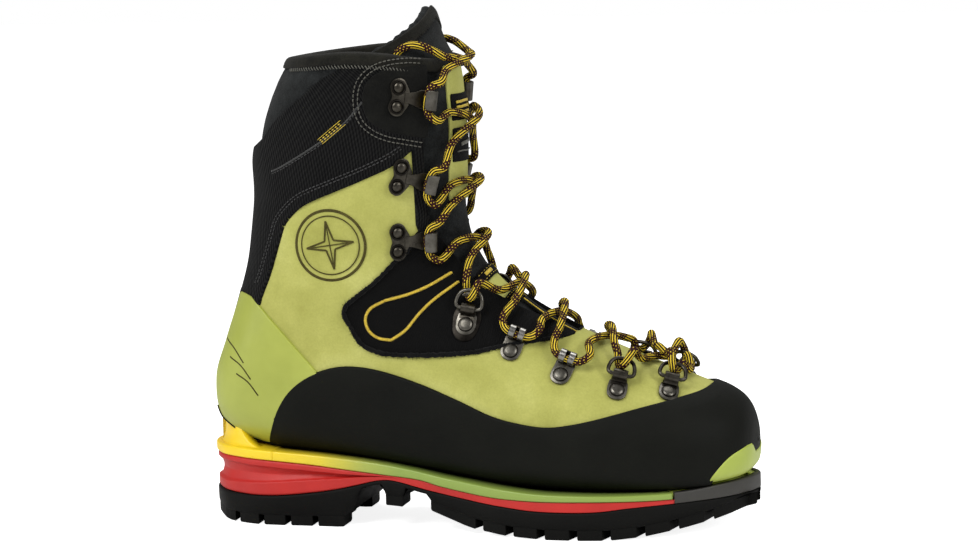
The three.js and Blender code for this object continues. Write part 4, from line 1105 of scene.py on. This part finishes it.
HOOKS = [("hook_lower", 11.6, 50, (11.3, 43), 0.9), ("hook_middle", 13.9, 50.5, (13.5, 43), 0.9),
         ("hook_upper", 16.85, 50.5, (16.6, 43), 1.9)]
LOOPS = [("loop_upper", 7.45, 50, (7.45, 34), FITTING_LIFT), ("loop_lower", 6.4, 50, (6.3, 34), FITTING_LIFT)]
MOUNTS = [("lock", 8.5, 52, (8.85, 34), 14), ("ring_upper", 5.3, 48, (5.3, 28), 3),
          ("ring_lower", 4.3, 38, (4.35, 14), 7)]
RING_BODY = {"lock": "lock_ring", "ring_upper": "upper_toe_ring", "ring_lower": "lower_toe_ring"}


def seat_frame(row, angle, tip, side, lift):
    """U along the leather towards the throat, V along the boot, N out of the leather."""
    origin = over(row, side * angle, lift)
    normal = normal_of(row, side * angle)
    towards = on_last(tip[0], side * tip[1]) - origin
    u = unit(towards - normal * towards.dot(normal))
    seat = np.eye(4)
    seat[:3, 0], seat[:3, 1], seat[:3, 2], seat[:3, 3] = u, unit(np.cross(normal, u)), normal, origin
    return seat


def moved(points, seat):
    return np.asarray(points, float) @ seat[:3, :3].T + seat[:3, 3]


class Fitting:
    """Metal parts in a seat's own frame, each with its own finish."""

    def __init__(self, seat):
        self.heap, self.kinds, self.seat = Heap(), [], seat

    def add(self, vertices, faces, kind):
        self.heap.add(moved(vertices, self.seat), faces)
        self.kinds += [kind] * len(faces)

    def strap(self, line, half_widths, thickness, kind, middle=0.0):
        """A strip of sheet metal bent along a line of (u, n) points, its width along V."""
        ahead = np.gradient(np.asarray(line, float), axis=0)
        t = thickness / 2
        rings = []
        for (u, n), (du, dn), w in zip(line, unit(ahead), np.broadcast_to(half_widths, len(line))):
            half = [(w - t * 0.6, -t), (w, -t * 0.4), (w, t * 0.4), (w - t * 0.6, t)]
            loop = [(-w, -t * 0.4), (-w + t * 0.6, -t), *half, (-w + t * 0.6, t), (-w, t * 0.4)]
            rings.append([(u - dn * h, middle + v, n + du * h) for v, h in loop])
        self.add(np.array(rings).reshape(-1, 3), walls(len(line), 8), kind)

    def slab(self, outline, low, high, bevel, kind):
        """A flat plate over a U-V outline, with a bevelled top edge."""
        ahead = np.roll(outline, -1, 0) - np.roll(outline, 1, 0)
        outward = unit(np.column_stack([ahead[:, 1], -ahead[:, 0]]))
        levels = ((0, low), (0, high - bevel), (bevel * 0.3, high - bevel * 0.3), (bevel, high))
        rings = [np.column_stack([outline - outward * inset, np.full(len(outline), n)])
                 for inset, n in levels]
        self.add(np.vstack(rings), walls(len(levels), len(outline)), kind)

    def turned(self, u, v, profile, kind, sides=24):
        """A round part: its profile is (radius, n) from the rim to the middle."""
        a = 2 * math.pi * np.arange(sides) / sides
        rings = [np.column_stack([u + radius * np.cos(a), v + radius * np.sin(a), np.full(sides, n)])
                 for radius, n in profile[:-1]]
        faces = walls(len(rings), sides, caps=False)
        rim = (len(rings) - 1) * sides
        faces += [(rim + k, rim + (k + 1) % sides, rim + sides) for k in range(sides)]
        self.add(np.vstack([*rings, [[u, v, profile[-1][1]]]]), faces, kind)

    def rivet(self, u, v):
        """A dished collar with a domed head in it."""
        self.turned(u, v, [(4.3, 0.8), (4.3, 1.35), (4.0, 1.75), (3.4, 1.85), (3.05, 1.45), (2.9, 1.3),
                           (0, 1.3)], BLACKENED)
        self.turned(u, v, [(2.75, 1.3), (2.7, 1.75), (2.2, 2.2), (1.3, 2.5), (0, 2.62)], PLAIN)

    def wide_rivet(self):
        """A broad flat-topped head on a thin dark washer."""
        self.turned(0, 0, [(4.3, 0.8), (4.3, 1.2), (3.9, 1.35), (0, 1.35)], BLACKENED)
        self.turned(0, 0, [(3.7, 1.2), (3.65, 1.9), (3.1, 2.35), (2.0, 2.55), (0, 2.62)], SHINY)

    def finish(self, name):
        piece = self.heap.finish(name, METALS[0])
        for finish in METALS[1:]:
            piece.data.materials.append(finish)
        piece.data.polygons.foreach_set("material_index", self.kinds)
        piece.data.set_sharp_from_angle(angle=math.radians(38))
        return piece


def mirrored(half):
    """A closed outline from its half at V > 0, listed from the +U end backwards."""
    half = np.asarray(half, float)
    return catmull(np.vstack([half, half[::-1] * [1, -1]]), 5, closed=True)


FIGURE_EIGHT = mirrored([(-1.2, 3.1), (-3.0, 6.6), (-5.2, 9.7), (-8, 10.5), (-11, 9.2), (-12.6, 6.0),
                         (-12.0, 3.0), (-11.2, 0.6)])
ROUND_PLATE = mirrored([(6.0, 4.6), (3.0, 5.4), (0, 5.5), (-3.2, 4.9), (-5.2, 3.0), (-5.9, 0.9)])
LOOP_PLATE = mirrored([(8.5, 4.9), (4, 5.4), (0, 5.5), (-3.0, 4.8), (-4.9, 2.9), (-5.5, 0.9)])
LOCK_BASE = mirrored([(9.5, 5.6), (5.5, 7.6), (0, 7.4), (-5.0, 6.4), (-8.4, 3.9), (-9.6, 1.1)])


def arc(u, n, radius, first, last, count):
    return [(u + radius * math.cos(a), n + radius * math.sin(a))
            for a in np.radians(np.linspace(first, last, count))]


def hook(seat, name):
    part = Fitting(seat)
    part.slab(FIGURE_EIGHT, 0, 1.0, 0.3, PLAIN)
    arm = [(-4, 0.9), (-1, 0.95), (2, 0.75), (5, 0.55), (9.2, 0.5), (11.3, 1.2), (12.5, 2.6), (12.9, 4.2)]
    part.strap(arm, [3.0, 3.0, 3.8, 5.0, 5.4, 5.5, 5.5, 5.5], 0.95, PLAIN)
    bow = [(12.9, 4.2), (12.85, 5.2), (12.2, 7.0), (10.8, 8.1), (9.2, 8.45), (7.4, 8.55), (6.1, 8.6),
           (5.5, 8.6)]
    part.strap(bow, [5.5, 5.5, 5.5, 5.5, 5.5, 5.4, 5.0, 4.2], 0.95, SHINY)
    for v in (-5.3, 5.3):
        part.rivet(-8, v)
    return part.finish(name)


def tunnel_loop(seat, name):
    part = Fitting(seat)
    part.slab(LOOP_PLATE, 0, 1.0, 0.3, SHINY)
    part.strap([(6, 0.7), (8, 0.6)] + arc(LOOP_CENTRE, 3.7, 3.3, -95, 10, 9), 4.4, 0.8, PLAIN)
    for middle in (-2.75, 2.75):
        part.strap(arc(LOOP_CENTRE, 3.7, 3.3, 5, 215, 16), 1.75, 0.85, BARE, middle)
    part.wide_rivet()
    return part.finish(name)


def ring_mount(seat, name, is_lock):
    part = Fitting(seat)
    if is_lock:
        part.slab(LOCK_BASE, -0.2, 0.8, 0.35, BLACKENED)
    part.slab(ROUND_PLATE, 0.2 if is_lock else 0, 1.1, 0.3, SHINY)
    fold = [(3, 0.8), (6, 0.75)] + arc(BAR_REACH, BAR_HEIGHT, 2.5, -80, 190, 16) + [(5.2, 1.7)]
    part.strap(fold, [4.4] * 2 + [4.0] * 17, 0.85, PLAIN)
    part.wide_rivet()
    return part.finish(name)


def ring_bow(seat, name, is_lock):
    half = [(0, 5.3), (1.1, 6.9), (4.5, RING_HALF_WIDTH), (8.1, 5.5), (RING_LENGTH - 0.15, 2.7)]
    corners = [(0, 0), *half, (RING_LENGTH, 0), *((u, -v) for u, v in half[::-1]), (0, 0)]
    loop = resample(catmull(corners, 10), 0.6)[:-1]
    path = np.column_stack([loop, np.zeros(len(loop))])
    part = Fitting(seat)
    wire = RING_WIRE / 2
    part.add(*tube(path, [0.0, 0.0, 1.0], wire, wire, 12, True), SHINY if is_lock else PLAIN)
    if is_lock:
        moon = mirrored([(8.9, 0.8), (7.9, 3.4), (6.6, 4.7), (6.2, 2.6), (6.1, 0.7)])
        part.slab(moon, -0.5, 0.5, 0.2, PLAIN)
    return part.finish(name)


fitting_seats, ring_seats = {}, {}
for side, sign in SIDES:
    for name, row, angle, tip, lift in HOOKS + LOOPS:
        seat = seat_frame(row, angle, tip, sign, lift)
        fitting_seats[name, side] = seat
        if name.startswith("hook"):
            rig(hook(seat, f"speed_{name}_{side}"), "shaft", [f"{name}_{side}"])
        else:
            rig(tunnel_loop(seat, f"tunnel_{name}_{side}"), "foot", [f"{name}_{side}"])
    for name, row, angle, tip, tilt in MOUNTS:
        seat = seat_frame(row, angle, tip, sign, FITTING_LIFT)
        rig(ring_mount(seat, f"{name}_bracket_{side}", name == "lock"), "foot",
            [f"{name}_mount_{side}"])
        turn = np.eye(4)
        cos, sin = math.cos(math.radians(tilt)), math.sin(math.radians(tilt))
        turn[0, 0], turn[0, 2], turn[2, 0], turn[2, 2] = cos, -sin, sin, cos
        turn[:3, 3] = (BAR_REACH, 0, BAR_HEIGHT)
        ring_seats[name, side] = seat @ turn
        rig(ring_bow(seat @ turn, f"{name}_d_ring_{side}", name == "lock"), f"{RING_BODY[name]}_{side}",
            [f"{name}_bow_{side}"])


# ---- lace
def through(name, side):
    """The lace's way through a fitting, from its toe side to its ankle side."""
    up = dict(SIDES)[side]
    if (name, side) in fitting_seats:
        u, n = (8.9, 4.8) if name.startswith("hook") else (LOOP_CENTRE, 3.7)
        return moved([(u + 5.5, -10.5 * up, n), (u, -6.8 * up, n), (u, 6.8 * up, n), (u + 5.5, 10.5 * up, n)],
                     fitting_seats[name, side])
    c = RING_WIRE / 2 + LACE_RADIUS + 1
    turn = -1 if name == "ring_lower" else 1
    points = [(4.5, -4, c * 0.9), (0.8, -3, c), (-c * 0.76, -1.5, c * 0.74), (-c, 0, 0),
              (-c * 0.76, 1.5, -c * 0.74), (0.8, 3, -c), (4.5, 4, -c * 0.9)]
    return moved([(RING_LENGTH + u, v * up, n * turn) for u, v, n in points], ring_seats[name, side])


def crossing(below, above, side, is_over, base):
    """From one side to the other across the throat, between two rows of fittings."""
    middle = base + (5.4 if is_over else 0.2)
    edge = max(3.4 + base / 2, middle - 1)
    rise = above[0] - below[0]
    rows = [below[0] + rise * part for part in (0.28, 0.5, 0.72)]
    return over(rows, [below[1] * side, 0, -above[1] * side], [edge, middle, edge])


# Each fitting up the boot, and the crossing that follows it: the row and angle where it starts and ends, and
# how far its middle lies over the last. Below the throat the crossings lie on the closed vamp.
LACE_STEPS = [("ring_lower", (4.3, 4), (5.3, 18), 3.1), ("ring_upper", (5.3, 18), (6.35, 24), 3.1),
              ("loop_lower", (6.45, 24), (7.4, 24), 3.1), ("loop_upper", (7.55, 25), (8.6, 25), 2.6),
              ("lock", (9.1, 25), (11, 27), 0), ("hook_lower", (11.5, 28), (13.3, 28), 0),
              ("hook_middle", (13.7, 28), (16.4, 28), 0), ("hook_upper", (17.1, 28), (18.5, 26), 0)]
LACE_STEP = 0.4
LACE_SIDES = 32


def lace_half(turn):
    """One half of the lace, from the toe up to its end behind the collar. It starts on one of the SIDES."""
    pieces = []
    for k, (name, below, above, base) in enumerate(LACE_STEPS):
        side, sign = SIDES[(turn + k) % 2]
        pieces += [through(name, side), crossing(below, above, sign, side == "outer", base)]
    end_angles = np.array([38, 47, 54, 58]) * SIDES[turn][1]
    return np.vstack([*pieces, over([18.85, 19.0, 18.8, 18.3], end_angles, [1.6, -1, -5, -6.2])])


def lace():
    toe_bar = over([4.08, 4.08], [5, -5], [3.5, 3.5])
    line = resample(catmull(np.vstack([lace_half(0)[::-1], toe_bar, lace_half(1)]), 10), LACE_STEP)
    count = len(line)
    ahead = unit(np.gradient(line, axis=0))
    across = np.empty_like(line)
    reference = unit(np.cross(ahead[0], [0, 0, 1.0]))
    for i in range(count):
        reference = unit(reference - ahead[i] * reference.dot(ahead[i]))
        across[i] = reference
    up = np.cross(across, ahead)
    along = np.arange(count)[:, None] * LACE_STEP
    angle = 2 * np.pi * np.arange(LACE_SIDES)[None, :] / LACE_SIDES
    strands = 0.07 * np.cos(BRAID_YARNS * angle + along * 2 * np.pi / BRAID_TURN)
    radius = LACE_RADIUS - 0.06 + (strands + 0.05 * np.cos(2 * np.pi * along / 1.3))
    cos, sin = np.cos(angle), np.sin(angle)
    points = (line[:, None] + across[:, None] * (radius * cos)[..., None]
              + up[:, None] * (radius * sin)[..., None])
    yarn = np.stack(np.broadcast_arrays(cos, sin, along), -1).reshape(-1, 3)
    return make("lace", points.reshape(-1, 3), walls(count, LACE_SIDES), LACE_YARN, {"yarn": yarn})


rig(lace(), "both", ["lace_foot", "lace_ankle_outer", "lace_ankle_inner", "lace_shaft_outer",
                             "lace_shaft_inner"])


# ---- seams, embroidery and marks
def seam(heap, points, side, height, shift=0.0, **how):
    """Stitches along side-view points, on one side of the boot."""
    line = resample(catmull(points, 6), 1.0)
    ahead = unit(np.gradient(line, axis=0))
    line = line + np.column_stack([-ahead[:, 1], ahead[:, 0]]) * shift
    path, normals = lifted(line, side, height)
    stitches(heap, path, normals, **how)


def ribbon(heap, points, side, height, wide, high, smooth=True):
    line = resample(catmull(points, 6) if smooth else np.asarray(points, float), 0.8)
    path, normals = lifted(line, side, height)
    heap.add(*tube(path, normals, wide, high, 8))


EMBLEM = np.array([84.3, 159.8])
EMBLEM_RADIUS = 19.5


def emblem(heap, side):
    """A pressed ring with a plain compass star in it."""
    turn = np.radians(np.linspace(0, 360, 73))
    for radius, wide in ((EMBLEM_RADIUS, 0.75), (EMBLEM_RADIUS - 3.2, 0.35)):
        circle = EMBLEM + radius * np.column_stack([np.cos(turn), np.sin(turn)])
        ribbon(heap, circle, side, 0.3, wide, 0.3, False)
    for k in range(4):
        a = math.pi / 2 * k + math.radians(8)
        tip = EMBLEM + 13.5 * np.array([math.cos(a), math.sin(a)])
        for b in (a - math.pi / 4, a + math.pi / 4):
            waist = EMBLEM + 3.6 * np.array([math.cos(b), math.sin(b)])
            ribbon(heap, [tip, waist], side, 0.3, 0.5, 0.28, False)
        ribbon(heap, [EMBLEM, tip], side, 0.3, 0.3, 0.26, False)


EMBROIDERY = [[(113, 128.5), (126.6, 132), (136.4, 136), (148, 142.7)],
              [(117, 107), (110, 108), (104.6, 111.8), (102.4, 118), (104.7, 123.8), (113, 128.5)],
              [(117, 107), (125, 112.4), (132, 121), (139, 128), (152, 137.6)]]
FLEX_TOP = FLEX_HEIGHT + 0.25


def embroidery(heap, side):
    for line in EMBROIDERY:
        ribbon(heap, line, side, FLEX_TOP, 0.55, 0.35)
        seam(heap, line, side, FLEX_TOP + 0.3, pitch=0.62, length=1.8, radius=0.32, lean=2.2)


HAIR_WIDTH = 0.1
HAIR_COUNT = 2600


def pile_border(heap, side):
    """The fuzzy edge round the flex panel: a lumpy cord with short hairs."""
    line = resample(FLEX[:-2], 1.1)
    line = line[(inside(THROAT, line) < -1) & (line[:, 1] < 164) & (line[:, 0] < 208)]
    path, normals = lifted(line, side, 0.9)
    path = path + rng.normal(0, 0.16, path.shape)
    size = 1.15 + rng.normal(0, 0.14, len(path))
    heap.add(*tube(path, normals, size * 1.1, size))
    for _ in range(HAIR_COUNT):
        k = rng.integers(1, len(path) - 1)
        root = path[k] + (path[k + 1] - path[k]) * rng.random()
        reach = unit(normals[k] * (0.5 + rng.random()) + rng.normal(0, 0.85, 3)) * (1.5 + rng.random() * 1.1)
        bend = rng.normal(0, 0.25, 3)
        away = unit(np.cross(reach, normals[k] + 0.1)) * HAIR_WIDTH
        middle = root + reach * 0.6 + bend
        tip = root + reach + bend * 2
        heap.add([root - away, root + away, middle + away * 0.8, middle - away * 0.8, tip],
                 [(0, 1, 2, 3), (3, 2, 4)])


CUFF_EDGE = [(136, 218.5), (128, 220.5), (120, 222.5), (113, 226), (108.5, 231), (107, 240), (109, 248),
             (116, 254), (128, 256), (136, 255)]
FABRIC_SEAM = [(50, 198.5), (57.6, 201.7), (85, 217.5), (97, 227), (106, 237.3)]


def cuff_stitches(heap, side):
    for inset in (3.2, 5.6):
        seam(heap, CUFF_EDGE, side, 2.05, inset, pitch=2.5, length=1.8)


def hem_stitches(heap, side):
    for inset in (4.4, 6.0):
        seam(heap, HEM, side, 1.5, -inset, pitch=2.4, length=1.7)
    seam(heap, FABRIC_SEAM, side, 1.15, pitch=2.4, length=1.7)
    ribbon(heap, [(x, z + 1.4) for x, z in FABRIC_SEAM], side, 0.95, 0.55, 0.3)


def collar_overlock(heap, side):
    x = np.linspace(62, 137, 90)
    seam(heap, np.column_stack([x, line_height(COLLAR_LINE, x) - 7.6]), side, 1.5, pitch=1.9, length=2.6,
         radius=0.3, lean=1.3)


def collar_tag(heap, side):
    """A small woven tag: two dashed rows of stitches between two plain ones."""
    for k in range(4):
        ends = np.array([[80.5, 218.2], [94, 229]]) + [0.9 * k, -0.75 * k]
        if k in (0, 3):
            ribbon(heap, ends, side, 1.5, 0.15, 0.15, False)
        else:
            seam(heap, ends, side, 1.5, pitch=2.3, length=1.4, radius=0.3)


def counter_piping(heap, side):
    ribbon(heap, [(5, 63), (10, 59.6), (18, 54.4), (26, 48.6), (42, 45.4)], side, 1.9, 0.5, 0.5)


# Painted shade: dark lines on the smooth lime counter, standing for the shade in its grooves.
def counter_grooves(heap, side):
    for k in range(3):
        groove = np.array([(17, 104), (24, 100), (30, 92.5)]) + [4 * k, -9 * k]
        ribbon(heap, groove, side, 1.72, 0.45, 0.2)


# The counter's groove lines are painted shade; the emblem's lines use the same dark olive.
TRIMS = ((emblem, "pressed_emblem", PRESSED_LINES_AND_GROOVE_SHADE, "both", "nubuck"),
         (embroidery, "satin_stitches", YELLOW_THREAD, "both", "lace"),
         (pile_border, "pile_edge", PILE, "both", "black_fabric"),
         (cuff_stitches, "cuff_stitches", GREY_THREAD, "shaft", "black_fabric"),
         (hem_stitches, "hem_stitches", DARK_THREAD, "both", "black_fabric"),
         (collar_overlock, "collar_overlock", GREY_THREAD, "shaft", "black_fabric"),
         (collar_tag, "collar_tag", YELLOW_THREAD, "shaft", "black_fabric"),
         (counter_piping, "counter_piping", RAND_RUBBER, "foot", "rand_rubber"),
         (counter_grooves, "counter_grooves", PRESSED_LINES_AND_GROOVE_SHADE, "foot", "lime_polymer"))
for side, sign in SIDES:
    for trim, name, material, body, slot in TRIMS:
        heap = Heap()
        trim(heap, sign)
        rig(heap.finish(f"{name}_{side}", material), body)


def refinish(name, material):
    """Gives a CAD node that stays in view a material of its own."""
    node = bpy.data.objects[name]
    if not node.material_slots:
        node.data.materials.append(material)
    for slot in node.material_slots:
        slot.material = material


refinish("insole_board", BOARD)
refinish("footbed", FELT)


# ---- tongue trims
STRIPE_POINTS = 25


def on_front(points):
    """Rows and angles of front-view points (y, z) over the shin and instep."""
    where = np.nonzero(np.abs(GRID_ANGLE) < 75)
    flat = GRID[where][:, [1, 2]]
    nearest = [int(np.argmin(((flat - p) ** 2).sum(1))) for p in points]
    return GRID_ROW[where][nearest], GRID_ANGLE[where][nearest]


def cord(heap, row, angle, height, wide, high, sides=8):
    """A rounded cord along rows and angles, at a height over the last."""
    heap.add(*tube(over(row, angle, height), normal_of(row, angle), wide, high, sides))


def label_stripes(name, material, stripes):
    """Stripes of thread across a label, each from a height on its outer side to one on its inner side."""
    heap = Heap()
    for low, high, half, wide in stripes:
        y = np.linspace(-half, half, STRIPE_POINTS)
        row, angle = on_front(np.column_stack([y, np.linspace(low, high, STRIPE_POINTS)]))
        row = np.convolve(np.pad(row, 3, "edge"), np.ones(7) / 7, "valid")
        cord(heap, row, angle, -1.5, wide, 0.3)
    rig(heap.finish(name, material), "shaft")


label_stripes("label_stripes_upper", YELLOW_THREAD, [(z, z, 12, 0.8) for z in (230.2, 233.0, 235.8)])
label_stripes("label_stripes_lower", GREY_THREAD, [(208.5, 208.5, 12, 0.4), (217.5, 217.5, 12, 0.4),
                                                   (212, 214, 9, 1.1)])


def webbing(row, name):
    """A flat strap across the instep with a woven gold bar, and stitches along both its edges."""
    strap, bars = Heap(), Heap()
    angles = np.linspace(-25, 25, 31)
    cord(strap, row, angles, -2.4, 3.6, 0.9, 12)
    for _, side in SIDES:
        cord(bars, row, np.linspace(6, 17, 12) * side, -1.55, 1.1, 0.3)
    for shift in (-0.11, 0.11):
        path = over(row + shift, angles, -1.65)
        stitches(bars, path, normal_of(row, angles), pitch=3.0, length=1.5, radius=0.2)
    rig(strap.finish(f"webbing_strap_{name}", KNIT), "foot")
    rig(bars.finish(f"webbing_bars_{name}", YELLOW_THREAD), "foot")


def instep_strip():
    """The padded strip down the middle of the instep, with a bright line along it."""
    rows = np.linspace(6.25, 7.75, 30)
    strip, line = Heap(), Heap()
    cord(strip, rows, 4.0, -1.9, 4.2, 1.3, 12)
    cord(line, rows, 7.0, -0.75, 0.5, 0.35)
    rig(strip.finish("instep_strip", CUFF), "foot")
    rig(line.finish("instep_strip_line", YELLOW_THREAD), "foot")


webbing(7.95, "lower")
webbing(8.9, "upper")
instep_strip()
patch_keep = np.minimum.reduce([in_throat - 1, 24 - np.abs(GRID_ANGLE), 4.2 - np.abs(GRID_ROW * 10 - 84)])
rig(panel("instep_nubuck_patch", patch_keep, -3.0, 1.2, NUBUCK, 0.5), "foot")
